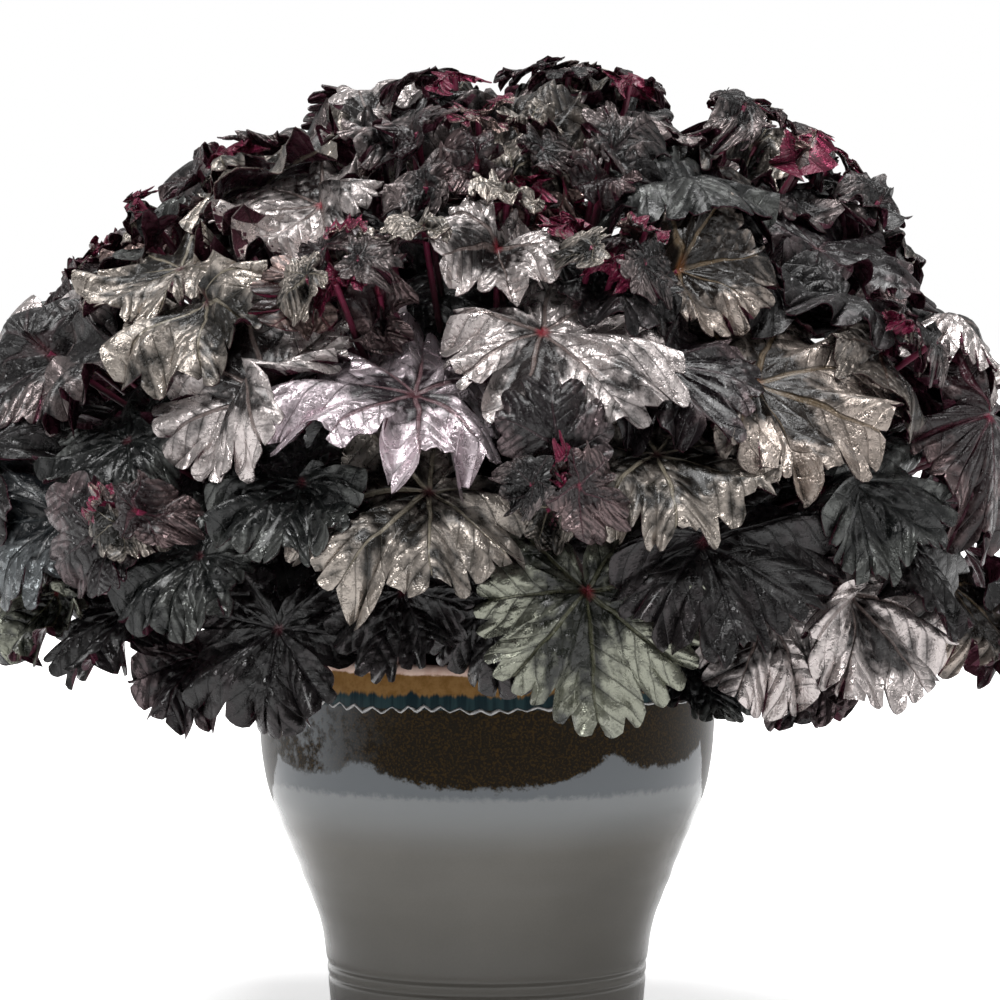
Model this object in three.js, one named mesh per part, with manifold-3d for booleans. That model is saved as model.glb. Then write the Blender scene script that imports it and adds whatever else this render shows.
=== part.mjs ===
// A potted heuchera: a glazed pot, its soil, and a dome of ruffled leaves on fourteen rosettes.
// Millimetres, +Z up, origin at the middle of the pot's flat base, front towards -Y.
import * as THREE from 'three';
import { mergeVertices } from 'three/addons/utils/BufferGeometryUtils.js';
import Module from 'manifold-3d';

const wasm = await Module();
wasm.setup();

// ---------------------------------------------------------------- driving dimensions: pot, soil
const POT_SIDES = 36;
const FLOOR = 14;
// Radius and height along the pot, from the base up the outside and down the inside.
const POT_PROFILE = [
  [0, 0], [73, 0], [76, 8], [78, 37], [80.5, 52], [88, 72], [97.5, 95.5], [106, 118], [110, 140],
  [110.8, 166], [109, 180], [105, 184.5], [101, 182], [98.5, 150], [90, 108], [62, FLOOR], [0, FLOOR],
];
const DRAIN_HOLES = 3;
const DRAIN_SIDES = 10;
const DRAIN_RADIUS = 5;
const DRAIN_RING = 40; // from the axis to the middle of each drain hole

const FIT_GAP = 0.3;
const SOIL_TOP = 167;
const SOIL_PROFILE = [
  [0, FLOOR + FIT_GAP], [62 - 2 * FIT_GAP, FLOOR + FIT_GAP], [90 - 2 * FIT_GAP, 108], [99, 163],
  [0, SOIL_TOP],
];

// ---------------------------------------------------------------- driving dimensions: plant
const CROWN = new THREE.Vector3(0, 0, 170); // the point that the plant fans out from
const BRANCH_REACH = 60; // from CROWN to the middle of each crown branch's head
const BRANCH_RADIUS = 5;
const BRANCH_SIDES = 5;
const BRANCH_DEPTH = 14; // how far a branch goes down into the soil
const HEAD_RADIUS = 6.5;

const DOME_REACH = 288; // from CROWN to the leaf tips at the top of the dome
const DOME_FALL = 90; // how much shorter the reach is at the dome's lower edge
const DOME_SHOULDER = 60; // elevation in degrees below which the reach falls off
const DOME_SPREAD = 65;
const DOME_POWER = 3.2;

const FULL = { lobes: 7, depth: 24, thickness: 1.4, tilt: [8, 20], lift: 1 / 25, mostPush: 90 };
const PLAIN = { lobes: 5, depth: 24, thickness: 1.4, tilt: [8, 20], lift: 1 / 25, mostPush: 45 };
const YOUNG = { lobes: 5, depth: 36, thickness: 1.8, tilt: [46, 56], lift: 0, mostPush: 34 };
const PLAIN_SPAN = [100, 118];
const YOUNG_SPAN = [46, 58];
const FILLER_SPAN = [66, 84];

const LOBED_TURN = 322; // degrees round the blade that its lobes share
const SHOULDER_SHARE = 0.24; // of a lobe's pitch, from its middle to its rounded corners
const VALLEY_SHARE = 0.72; // of the way to the edge, between two lobes
const RIB_SHARE = 0.55;
const NOTCH_SHARE = 0.28;
const LOBE_WAVE = 0.07; // height of the ruffles, as a share of the leaf's span
const SLOW_WAVE = 0.06;
const CALMING = [1, 0.8, 0.6, 0.4, 0.2, 0]; // shares of the ruffles that a crowded blade may keep
const THINNEST = 0.62; // square to the blade
const STALK_RADIUS = 1.7;
const STALK_STEPS = 3;
const STALK_STRAIGHT = 70; // the stretch below the blade that runs straight out
const LIP_LIFT = 40; // how far the lowest stalks arch up on their way over the pot's lip
const LIP_ELEVATION = 40; // leaves below this elevation have such an arch

const CLEARANCE = 1; // from one blade up to the next, along the line from CROWN
const STIFFNESS = 0.5; // steepest slope of the bend that a blade takes to clear another
const CELL = 0.5; // degrees, the grid of directions that holds the leaves placed so far
const GRID_REACH = 112; // degrees from straight up to the grid's edge
const GRID_SIZE = Math.round(2 * GRID_REACH / CELL) + 1;
const SEED = 9;

// Rosettes: azimuth from the front towards +X, and elevation, of each tuft of young leaves.
const ROSETTES = [
  [5, 60], [-18, 43.5], [17, 44.5], [54, 36], [-40, 19], [7, 22.5], [100, 57], [-75, 52],
  [100, 26], [138, 42], [178, 60], [-140, 42], [-98, 20], [178, 24],
];

// Leaves placed by hand: azimuth, elevation, turn from straight down towards +X, span.
const FRONT_LEAVES = [
  [-8, 33, -63, 112], [7, 40, 15, 100], [-6, 23.5, -6, 104], [11, 14, 6, 98], [19, 27, 9, 100],
  [33, 34, 84, 112], [45, 13, 60, 98], [24, 18.5, 50, 100], [-26, 33, -66, 96], [45, 24, 66, 92],
  [33, 12, 9, 84], [-9, 14, -18, 90], [1, 13, 0, 80], [-33, 17, -54, 96], [-46, 11, -42, 86],
  [-24, 10, -6, 88], [-36, 6.5, 3, 72], [-20, 24, 0, 96], [-45, 28, 12, 92], [-55, 20, -66, 92],
  [-57, 12, -63, 84], [-54, 38, 36, 98], [-70, 36, -42, 92], [-38, 42, -27, 96], [-52, 48, -54, 96],
  [-32, 58, -57, 104], [-16, 53, 15, 92], [43, 71, 126, 92], [-40, 77, -30, 80], [60, 66, 120, 76],
  [86, 60, 60, 110], [68, 51, 50, 110], [28, 47, 20, 84], [21, 36.5, -15, 92], [70, 38, 60, 92],
  [65, 27, 40, 92], [55, 18, 36, 90], [76, 12, 30, 90], [40, 5, 5, 80], [25, 6.5, 5, 84],
  [15, 82, 160, 98],
];
const MATURE_LEAVES = 92;
const MATURE_TRIES = 6000;
const LOWEST_BASE = 14; // elevation of the lowest leaf bases
const LEAF_SPACING = 12; // degrees between the bases of neighbouring leaves
const TUFT_SPACING = 10.5; // degrees from a leaf's base to the middle of a rosette
const AWAY_LEAN = 0.12; // how much a leaf that points away from its rosette leans downhill
const AWAY_DRAW = 20; // degrees that its turn is drawn from either side
const STALK_MARGIN = 6; // clear millimetres round the stalk of a leaf that lies further out
const TUFT_MARGIN = 17; // clear millimetres round the middle of each rosette
const SWINGS = [0, 12, -12, 24, -24, 36, -36, 50, -50, 65, -65];
const TRIMS = [1, 0.93, 0.86, 0.8];
const YOUNG_PER_ROSETTE = 3;
const YOUNG_RINGS = [3, 4, 5, 6, 7, 8, 9]; // degrees from the middle of the rosette
const YOUNG_BEARINGS = 12;
const YOUNG_SPACING = 5;
const OPEN_CELLS = 2; // grid cells that must be free on every side of a new small leaf
const FILLER_TRIES = 700;
const FILLERS = 22;
const GOLDEN_ANGLE = 137.508;

// ---------------------------------------------------------------- seeded draws and directions
const radians = THREE.MathUtils.degToRad;
const degrees = THREE.MathUtils.radToDeg;
let state = SEED;

function draw([low, high]) {
  state = (Math.imul(state, 1664525) + 1013904223) >>> 0;
  return low + (high - low) * state / 4294967296;
}

function direction(azimuth, elevation) {
  const a = radians(azimuth);
  const e = radians(elevation);
  return new THREE.Vector3(Math.sin(a) * Math.cos(e), -Math.cos(a) * Math.cos(e), Math.sin(e));
}

function domeReach(elevation) {
  const fall = Math.max(0, (DOME_SHOULDER - elevation) / DOME_SPREAD);
  return DOME_REACH - DOME_FALL * fall ** DOME_POWER;
}

// ---------------------------------------------------------------- leaf plan
function makeLeaf(kind, azimuth, elevation, turn, span) {
  return {
    kind,
    azimuth,
    elevation,
    turn,
    span,
    calm: 1,
    tilt: draw(kind.tilt) + Math.abs(turn) * kind.lift,
    phase: draw([20, 160]),
    sway: draw([0, 360]),
    way: direction(azimuth, elevation),
  };
}

function nearestTuft(way, tufts) {
  let best = 0;
  tufts.forEach((tuft, i) => {
    if (tuft.dot(way) > tufts[best].dot(way)) best = i;
  });
  return best;
}

// The turn that points a leaf away from its rosette, leaning downhill, with a drawn part.
function turnFrom(tuft, azimuth, elevation) {
  const a = radians(azimuth);
  const away = direction(azimuth, elevation).sub(tuft);
  const side = new THREE.Vector3(Math.cos(a), Math.sin(a), 0);
  const down = direction(azimuth, elevation - 90);
  const turn = Math.atan2(away.dot(side), away.dot(down) + AWAY_LEAN);
  return degrees(turn) + draw([-AWAY_DRAW, AWAY_DRAW]);
}

// The leaves placed by hand, and others thrown where they keep their distance, lowest first.
function planMature(tufts) {
  const leaves = FRONT_LEAVES.map((entry) => makeLeaf(FULL, ...entry));
  const apart = Math.cos(radians(LEAF_SPACING));
  const clear = Math.cos(radians(TUFT_SPACING));
  const lowest = Math.sin(radians(LOWEST_BASE));
  for (let tries = 0; tries < MATURE_TRIES && leaves.length < MATURE_LEAVES; tries += 1) {
    const azimuth = draw([-180, 180]);
    const elevation = degrees(Math.asin(draw([lowest, 1])));
    const way = direction(azimuth, elevation);
    const free = leaves.every((leaf) => leaf.way.dot(way) < apart)
      && tufts.every((tuft) => tuft.dot(way) < clear);
    if (free) {
      const turn = turnFrom(tufts[nearestTuft(way, tufts)], azimuth, elevation);
      leaves.push(makeLeaf(PLAIN, azimuth, elevation, turn, draw(PLAIN_SPAN)));
    }
  }
  leaves.sort((a, b) => a.elevation - b.elevation);
  leaves.forEach((leaf, i) => settle(leaf, leaves.slice(i + 1), tufts));
  return leaves;
}

// How far, in millimetres, a blade reaches into the clear ring round one direction.
function intrusion(leaf, frame, way, margin) {
  if (leaf.way.dot(way) < 0.86) return 0;
  const reach = frame.base.dot(frame.normal) / way.dot(frame.normal);
  const offset = way.clone().multiplyScalar(reach).sub(frame.base);
  const across = offset.dot(frame.across);
  const ahead = offset.dot(frame.heading);
  const angle = degrees(Math.atan2(across, ahead));
  const edge = Math.abs(angle) > 160 ? 0.4 : 0.95;
  return Math.max(0, edge * envelope(leaf.span, angle) + margin - Math.hypot(across, ahead));
}

// Turns a leaf, and trims its span, to leave the later leaves' stalks and the rosettes free.
function settle(leaf, later, tufts) {
  let best = { crossed: Infinity };
  for (const trim of TRIMS) {
    for (const swing of SWINGS) {
      const trial = { ...leaf, turn: leaf.turn + swing, span: leaf.span * trim };
      const frame = leafFrame(trial);
      const stalks = later.map((other) => intrusion(trial, frame, other.way, STALK_MARGIN));
      const middles = tufts.map((tuft) => intrusion(trial, frame, tuft, TUFT_MARGIN));
      const crossed = [...stalks, ...middles].reduce((sum, depth) => sum + depth, 0);
      if (crossed < best.crossed - 0.01) best = { crossed, turn: trial.turn, span: trial.span };
    }
  }
  leaf.turn = best.turn;
  leaf.span = best.span;
}

// Young leaves stand round the middle of a rosette, where the mature blades leave it open.
function planYoung([azimuth, elevation], canopy) {
  const leaves = [];
  const apart = Math.cos(radians(YOUNG_SPACING));
  for (const ring of YOUNG_RINGS) {
    for (let step = 0; step < YOUNG_BEARINGS && leaves.length < YOUNG_PER_ROSETTE; step += 1) {
      const bearing = radians(step * 360 / YOUNG_BEARINGS);
      const up = elevation + ring * Math.cos(bearing);
      const round = azimuth + ring * Math.sin(bearing) / Math.cos(radians(elevation));
      const way = direction(round, up);
      if (leaves.every((leaf) => leaf.way.dot(way) < apart) && canopy.isOpen(way)) {
        const turn = degrees(Math.atan2(Math.sin(bearing), -Math.cos(bearing)));
        leaves.push(makeLeaf(YOUNG, round, up, turn, draw(YOUNG_SPAN)));
      }
    }
  }
  return leaves;
}

// Places that are still open, on a spiral from the top of the dome to its lower edge.
function openPlaces(canopy) {
  const drop = (1 - Math.sin(radians(LOWEST_BASE))) / FILLER_TRIES;
  const places = [];
  for (let i = 0; i < FILLER_TRIES; i += 1) {
    const elevation = degrees(Math.asin(1 - drop * (i + 0.5)));
    const azimuth = (i * GOLDEN_ANGLE) % 360 - 180;
    if (canopy.isOpen(direction(azimuth, elevation))) places.push([azimuth, elevation]);
  }
  return places.sort((a, b) => a[1] - b[1]);
}

// ---------------------------------------------------------------- blade shape
function leafFrame(leaf) {
  const { azimuth, elevation } = leaf;
  const a = radians(azimuth);
  const turn = radians(leaf.turn);
  const tilt = radians(leaf.tilt * (0.4 + 0.6 * leaf.calm));
  const below = direction(azimuth, elevation - 1).multiplyScalar(domeReach(elevation - 1));
  const above = direction(azimuth, elevation + 1).multiplyScalar(domeReach(elevation + 1));
  const down = below.sub(above).normalize();
  const side = new THREE.Vector3(Math.cos(a), Math.sin(a), 0);
  const outward = down.clone().cross(side);
  const flat = down.multiplyScalar(Math.cos(turn)).addScaledVector(side, Math.sin(turn));
  return {
    base: leaf.way.clone().multiplyScalar(domeReach(elevation) - leaf.kind.depth),
    across: outward.clone().cross(flat),
    heading: flat.clone().multiplyScalar(Math.cos(tilt)).addScaledVector(outward, Math.sin(tilt)),
    normal: outward.clone().multiplyScalar(Math.cos(tilt)).addScaledVector(flat, -Math.sin(tilt)),
  };
}

function envelope(span, angle) {
  return span * (0.47 + 0.11 * Math.cos(radians(angle)));
}

// A point of the blade, from CROWN: angle in degrees from the tip, share of the way to the edge.
function bladePoint(leaf, frame, angle, share) {
  const a = radians(angle);
  const reach = envelope(leaf.span, angle) * share;
  const arch = 0.1 * share - 0.18 * share ** 2;
  const lobeWave = LOBE_WAVE * Math.sin(a * 360 * leaf.kind.lobes / LOBED_TURN + radians(leaf.phase));
  const slowWave = SLOW_WAVE * Math.sin(2.3 * a + radians(leaf.sway));
  const lift = leaf.span * (arch + leaf.calm * share ** 2 * (lobeWave + slowWave));
  return frame.base.clone()
    .addScaledVector(frame.heading, reach * Math.cos(a))
    .addScaledVector(frame.across, reach * Math.sin(a))
    .addScaledVector(frame.normal, lift);
}

// Corners of a mature blade and one face's triangles: middle, notch, ribs, then the edge.
// hub is the loop round the middle, and stalk the hub's corners that the stalk lines up with.
function matureLayout(lobes) {
  const corners = [[0, 0], [180, NOTCH_SHARE]];
  const faces = [];
  const reach = (lobes - 1) / 2;
  const pitch = LOBED_TURN / lobes;
  for (let lobe = -reach; lobe <= reach; lobe += 1) corners.push([lobe * pitch, RIB_SHARE]);
  const rib = (i) => 2 + i;
  const edge = (i) => 2 + lobes + i;
  for (let lobe = 0; lobe < lobes; lobe += 1) {
    const middle = (lobe - reach) * pitch;
    const shoulder = SHOULDER_SHARE * pitch;
    corners.push([middle - shoulder, 0.97], [middle + shoulder, 0.97]);
    faces.push([rib(lobe), edge(3 * lobe), edge(3 * lobe + 1)]);
    if (lobe < lobes - 1) {
      corners.push([middle + pitch / 2, VALLEY_SHARE]);
      faces.push([rib(lobe), edge(3 * lobe + 1), edge(3 * lobe + 2)]);
      faces.push([rib(lobe), edge(3 * lobe + 2), rib(lobe + 1)]);
      faces.push([rib(lobe + 1), edge(3 * lobe + 2), edge(3 * lobe + 3)]);
      faces.push([0, rib(lobe), rib(lobe + 1)]);
    }
  }
  const last = 3 * lobes - 2;
  faces.push([0, rib(lobes - 1), 1], [0, 1, rib(0)]);
  faces.push([rib(lobes - 1), edge(last), 1], [rib(0), 1, edge(0)]);
  const rim = [1];
  for (let i = 0; i <= last; i += 1) rim.push(edge(i));
  const hub = Array.from({ length: lobes }, (_, lobe) => rib(lobe)).concat(1);
  return { corners, faces, rim, hub, stalk: [rib(0), rib(reach), rib(lobes - 1)] };
}

// A young blade has five pointed lobes round its middle.
function youngLayout() {
  const corners = [[0, 0], [180, 0.3]];
  for (let i = -4; i <= 4; i += 1) corners.push([i * 31, i % 2 === 0 ? 1 : VALLEY_SHARE]);
  const rim = corners.map((_, i) => i).slice(1);
  const faces = rim.map((corner, i) => [0, corner, rim[(i + 1) % rim.length]]);
  return { corners, faces, rim, hub: rim.slice(1).concat(1), stalk: [2, 6, 10] };
}

// ---------------------------------------------------------------- canopy of placed blades
// A grid of directions from CROWN, laid out flat round straight up, with the outermost reach.
class Canopy {
  constructor() {
    this.reach = new Float64Array(GRID_SIZE * GRID_SIZE);
  }

  place(way) {
    const tilt = degrees(Math.acos(THREE.MathUtils.clamp(way.z, -1, 1)));
    const scale = tilt / (Math.hypot(way.x, way.y) || 1);
    return [(way.x * scale + GRID_REACH) / CELL, (way.y * scale + GRID_REACH) / CELL];
  }

  wayOf(column, row) {
    const x = column * CELL - GRID_REACH;
    const y = row * CELL - GRID_REACH;
    const tilt = Math.hypot(x, y);
    const scale = tilt > 0 ? Math.sin(radians(tilt)) / tilt : 0;
    return new THREE.Vector3(x * scale, y * scale, Math.cos(radians(tilt)));
  }

  isOpen(way) {
    const [column, row] = this.place(way).map(Math.round);
    for (let i = -OPEN_CELLS; i <= OPEN_CELLS; i += 1) {
      for (let j = -OPEN_CELLS; j <= OPEN_CELLS; j += 1) {
        if (this.reach[(row + i) * GRID_SIZE + column + j] > 0) return false;
      }
    }
    return true;
  }

  // Every grid direction that passes through the blade, with its shares of the face's corners.
  cells(ways, faces) {
    const cells = [];
    for (const face of faces) {
      const [a, b, c] = face.map((corner) => ways[corner]);
      const places = [a, b, c].map((way) => this.place(way));
      const crossings = [b.clone().cross(c), c.clone().cross(a), a.clone().cross(b)];
      const volume = a.dot(crossings[0]);
      const [left, top] = [0, 1].map((axis) => Math.floor(Math.min(...places.map((place) => place[axis]))));
      const [right, low] = [0, 1].map((axis) => Math.ceil(Math.max(...places.map((place) => place[axis]))));
      for (let row = top; row <= low; row += 1) {
        for (let column = left; column <= right; column += 1) {
          const way = this.wayOf(column, row);
          const shares = crossings.map((crossing) => crossing.dot(way) / volume);
          if (Math.min(...shares) > -1e-9) cells.push({ face, shares, index: row * GRID_SIZE + column });
        }
      }
    }
    return cells;
  }

  // Marks a blade's upper reach in its cells and in the ones next to them.
  mark(cells, reaches) {
    for (const cell of cells) {
      const reach = cellReach(cell, reaches);
      for (const row of [-GRID_SIZE, 0, GRID_SIZE]) {
        for (const column of [-1, 0, 1]) {
          const index = cell.index + row + column;
          this.reach[index] = Math.max(this.reach[index], reach);
        }
      }
    }
  }

  // Raises a blade's corners until it clears everything placed so far.
  bendClear(points, cells) {
    const start = points.map((point) => point.length());
    let reaches = start.slice();
    for (let round = 0; round < 40; round += 1) {
      const raise = new Float64Array(points.length);
      for (const cell of cells) {
        const reach = cellReach(cell, reaches);
        const short = this.reach[cell.index] > 0 ? this.reach[cell.index] + CLEARANCE - reach : 0;
        if (short > 0) {
          const weights = cell.face.map((corner, i) => cell.shares[i] * reach / reaches[corner]);
          const norm = weights.reduce((sum, weight) => sum + weight ** 2, 0);
          cell.face.forEach((corner, i) => {
            raise[corner] = Math.max(raise[corner], short * weights[i] / norm);
          });
        }
      }
      if (Math.max(...raise) < 0.02) break;
      const lifts = reaches.map((reach, i) => reach + raise[i] - start[i]);
      reaches = start.map((reach, i) => reach + Math.max(
        ...lifts.map((lift, j) => lift - STIFFNESS * points[i].distanceTo(points[j])),
      ));
    }
    return reaches;
  }
}

function cellReach(cell, reaches) {
  return 1 / cell.face.reduce((sum, corner, i) => sum + cell.shares[i] / reaches[corner], 0);
}

// Least thickness square to the blade, which is thickest where it faces CROWN squarely.
function leastThickness(ways, reaches, faces, thickness) {
  const points = ways.map((way, i) => way.clone().multiplyScalar(reaches[i]));
  return Math.min(...faces.map(([a, b, c]) => {
    const square = points[b].clone().sub(points[a]).cross(points[c].clone().sub(points[a])).normalize();
    return thickness * Math.min(square.dot(ways[a]), square.dot(ways[b]), square.dot(ways[c]));
  }));
}

// Lays a blade over the ones placed so far, calmer where it would get too thin, or leaves it out.
function placeBlade(leaf, layout, canopy) {
  const { thickness, mostPush } = leaf.kind;
  for (const calm of CALMING) {
    leaf.calm = calm;
    const frame = leafFrame(leaf);
    const points = layout.corners.map(([angle, share]) => bladePoint(leaf, frame, angle, share));
    const ways = points.map((point) => point.clone().normalize());
    const start = points.map((point) => point.length());
    if (leastThickness(ways, start, layout.faces, thickness) >= THINNEST) {
      const cells = canopy.cells(ways, layout.faces);
      const reaches = canopy.bendClear(points, cells);
      const push = Math.max(...reaches.map((reach, i) => reach - start[i]));
      if (push <= mostPush && leastThickness(ways, reaches, layout.faces, thickness) >= THINNEST) {
        const tops = reaches.map((reach) => reach + thickness);
        canopy.mark(cells, tops);
        leaf.heading = frame.heading;
        leaf.under = ways.map((way, i) => way.clone().multiplyScalar(reaches[i]).add(CROWN));
        leaf.over = ways.map((way, i) => way.clone().multiplyScalar(tops[i]).add(CROWN));
        return true;
      }
    }
  }
  return false;
}

// ---------------------------------------------------------------- leaf solid
// From the branch's head, over the pot's lip for the low leaves, and straight out to the blade.
function stalkCurve(leaf, start) {
  const end = leaf.under[0];
  const lift = LIP_LIFT * Math.max(0, 1 - leaf.elevation / LIP_ELEVATION);
  const first = start.clone().lerp(end, 0.35);
  first.z += lift;
  const second = end.clone().addScaledVector(leaf.way, -STALK_STRAIGHT);
  second.z += lift / 2;
  return new THREE.CubicBezierCurve3(start, first, second, end);
}

// Rings of the stalk from the blade's underside down to the branch's head.
function stalkRings(leaf, layout, start) {
  const middle = leaf.under[0];
  const curve = stalkCurve(leaf, start);
  const rings = [layout.stalk.map((corner) => {
    const toRib = leaf.under[corner].clone().sub(middle);
    return middle.clone().addScaledVector(toRib, STALK_RADIUS / toRib.length());
  })];
  for (let step = 1; step <= STALK_STEPS; step += 1) {
    const along = 1 - step / STALK_STEPS;
    const tangent = curve.getTangent(along);
    const ahead = leaf.heading.clone().addScaledVector(tangent, -tangent.dot(leaf.heading)).normalize();
    const aside = tangent.clone().cross(ahead);
    rings.push(layout.stalk.map((corner) => {
      const angle = radians(layout.corners[corner][0]);
      return curve.getPoint(along)
        .addScaledVector(ahead, STALK_RADIUS * Math.cos(angle))
        .addScaledVector(aside, STALK_RADIUS * Math.sin(angle));
    }));
  }
  return rings;
}

// Triangles between two loops of [point, angle] round the same middle, matched by angle.
function bridge(outer, inner) {
  const triangles = [];
  const angleAfter = (loop, i) => (i + 1 < loop.length ? loop[i + 1][1] : loop[0][1] + 360);
  let i = 0;
  let j = 0;
  while (i < outer.length || j < inner.length) {
    const [near] = inner[j % inner.length];
    const [far] = outer[i % outer.length];
    const outerNext = j >= inner.length
      || (i < outer.length && angleAfter(outer, i) <= angleAfter(inner, j));
    if (outerNext) i += 1;
    else j += 1;
    triangles.push([near, far, outerNext ? outer[i % outer.length][0] : inner[j % inner.length][0]]);
  }
  return triangles;
}

// Blade and stalk as one closed solid: the stalk takes the place of the underside's middle.
function leafSolid(leaf, layout, start) {
  const { corners, faces, rim, hub, stalk } = layout;
  const count = corners.length;
  const points = [...leaf.over, ...leaf.under.slice(1), ...stalkRings(leaf, layout, start).flat()];
  const under = (corner) => count - 1 + corner;
  const ring = (step, side) => 2 * count - 1 + 3 * step + side % 3;
  const triangles = faces.map((face) => face.slice());
  for (const [a, b, c] of faces) {
    if (a !== 0) triangles.push([under(a), under(c), under(b)]);
  }
  const outer = hub.map((corner) => [under(corner), corners[corner][0]]);
  const inner = stalk.map((corner, side) => [ring(0, side), corners[corner][0]]);
  for (const [a, b, c] of bridge(outer, inner)) triangles.push([a, c, b]);
  rim.forEach((corner, i) => {
    const next = rim[(i + 1) % rim.length];
    triangles.push([corner, under(corner), next], [next, under(corner), under(next)]);
  });
  for (let step = 0; step < STALK_STEPS; step += 1) {
    for (let side = 0; side < 3; side += 1) {
      const [high, highNext] = [ring(step, side), ring(step, side + 1)];
      const [low, lowNext] = [ring(step + 1, side), ring(step + 1, side + 1)];
      triangles.push([low, lowNext, highNext], [low, highNext, high]);
    }
  }
  triangles.push([2, 1, 0].map((side) => ring(STALK_STEPS, side)));
  return solid(points.flatMap((point) => point.toArray()), triangles.flat());
}

// ---------------------------------------------------------------- solids and meshes
function solid(positions, triangles) {
  return new wasm.Manifold(new wasm.Mesh({
    numProp: 3,
    vertProperties: new Float32Array(positions),
    triVerts: new Uint32Array(triangles),
  }));
}

function solidOf(geometry) {
  geometry.deleteAttribute('normal');
  geometry.deleteAttribute('uv');
  const merged = mergeVertices(geometry, 1e-5);
  return solid(merged.attributes.position.array, merged.index.array);
}

// Fills the hollows that joining seals in: only the shells that face outwards are kept.
function withoutHollows(body) {
  const { vertProperties, triVerts } = body.getMesh();
  const leader = Array.from({ length: vertProperties.length / 3 }, (_, i) => i);
  const find = (i) => {
    let top = i;
    while (leader[top] !== top) top = leader[top];
    leader[i] = top;
    return top;
  };
  const corner = (i) => new THREE.Vector3().fromArray(vertProperties, 3 * i);
  const faces = [];
  for (let i = 0; i < triVerts.length; i += 3) faces.push([...triVerts.slice(i, i + 3)]);
  for (const [a, b, c] of faces) {
    leader[find(b)] = find(a);
    leader[find(c)] = find(a);
  }
  const volumes = new Map();
  for (const [a, b, c] of faces) {
    const volume = corner(a).dot(corner(b).cross(corner(c))) / 6;
    volumes.set(find(a), (volumes.get(find(a)) || 0) + volume);
  }
  return solid(vertProperties, faces.filter(([a]) => volumes.get(find(a)) > 0).flat());
}

function turned(profile, sides) {
  const points = profile.map(([radius, height]) => new THREE.Vector2(radius, height));
  return new THREE.LatheGeometry(points, sides).rotateX(Math.PI / 2);
}

function meshOf(body, name, colour, roughness) {
  const data = body.getMesh();
  const geometry = new THREE.BufferGeometry();
  geometry.setAttribute('position', new THREE.BufferAttribute(data.vertProperties, 3));
  geometry.setIndex(new THREE.BufferAttribute(data.triVerts, 1));
  geometry.computeVertexNormals();
  const material = new THREE.MeshStandardMaterial({ color: colour, roughness, metalness: 0 });
  const mesh = new THREE.Mesh(geometry, material);
  mesh.name = name;
  return mesh;
}

// ---------------------------------------------------------------- pot and soil
function makePot() {
  let body = solidOf(turned(POT_PROFILE, POT_SIDES));
  for (let i = 0; i < DRAIN_HOLES; i += 1) {
    const angle = radians(60 + i * 360 / DRAIN_HOLES);
    const hole = new THREE.CylinderGeometry(DRAIN_RADIUS, DRAIN_RADIUS, 3 * FLOOR, DRAIN_SIDES);
    hole.rotateX(Math.PI / 2);
    hole.translate(DRAIN_RING * Math.cos(angle), DRAIN_RING * Math.sin(angle), 0);
    body = body.subtract(solidOf(hole));
  }
  return meshOf(body, 'pot', 0x3a3a34, 0.25);
}

function makeSoil(heads) {
  const radius = BRANCH_RADIUS + FIT_GAP;
  const bottom = SOIL_TOP - BRANCH_DEPTH - FIT_GAP;
  const top = SOIL_TOP + BRANCH_DEPTH;
  let body = solidOf(turned(SOIL_PROFILE, POT_SIDES));
  for (const head of heads) {
    const hole = turned([[0, bottom], [radius, bottom], [radius, top], [0, top]], BRANCH_SIDES);
    body = body.subtract(solidOf(hole.translate(head.x, head.y, 0)));
  }
  return meshOf(body, 'soil', 0x2a2019, 0.95);
}

// ---------------------------------------------------------------- rosettes
// An upright woody branch of the crown, from inside the soil to the head that bears the leaves.
function makeBranch(head) {
  const branch = turned([
    [0, SOIL_TOP - BRANCH_DEPTH], [BRANCH_RADIUS, SOIL_TOP - BRANCH_DEPTH],
    [BRANCH_RADIUS, head.z - HEAD_RADIUS], [HEAD_RADIUS, head.z], [0, head.z + HEAD_RADIUS],
  ], BRANCH_SIDES);
  return solidOf(branch.translate(head.x, head.y, 0));
}

// Stalks leave the head all round it, the young ones nearest to its top.
function stalkStart(head, tuft, leaf) {
  const around = leaf.way.clone().addScaledVector(tuft, -tuft.dot(leaf.way)).normalize();
  const rise = leaf.kind === YOUNG ? 3 : -1;
  return head.clone().addScaledVector(around, HEAD_RADIUS / 2).addScaledVector(tuft, rise);
}

// All leaves that find a place: mature ones from the lowest up, young ones, then small fillers.
function growLeaves(tufts, layouts) {
  const canopy = new Canopy();
  const grow = (leaf) => placeBlade(leaf, layouts.get(leaf.kind), canopy);
  const leaves = planMature(tufts).filter(grow);
  for (const rosette of ROSETTES) leaves.push(...planYoung(rosette, canopy).filter(grow));
  const full = leaves.length + FILLERS;
  for (const [azimuth, elevation] of openPlaces(canopy)) {
    const way = direction(azimuth, elevation);
    if (leaves.length < full && canopy.isOpen(way)) {
      const turn = turnFrom(tufts[nearestTuft(way, tufts)], azimuth, elevation);
      const leaf = makeLeaf(PLAIN, azimuth, elevation, turn, draw(FILLER_SPAN));
      if (grow(leaf)) leaves.push(leaf);
    }
  }
  return leaves;
}

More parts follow.
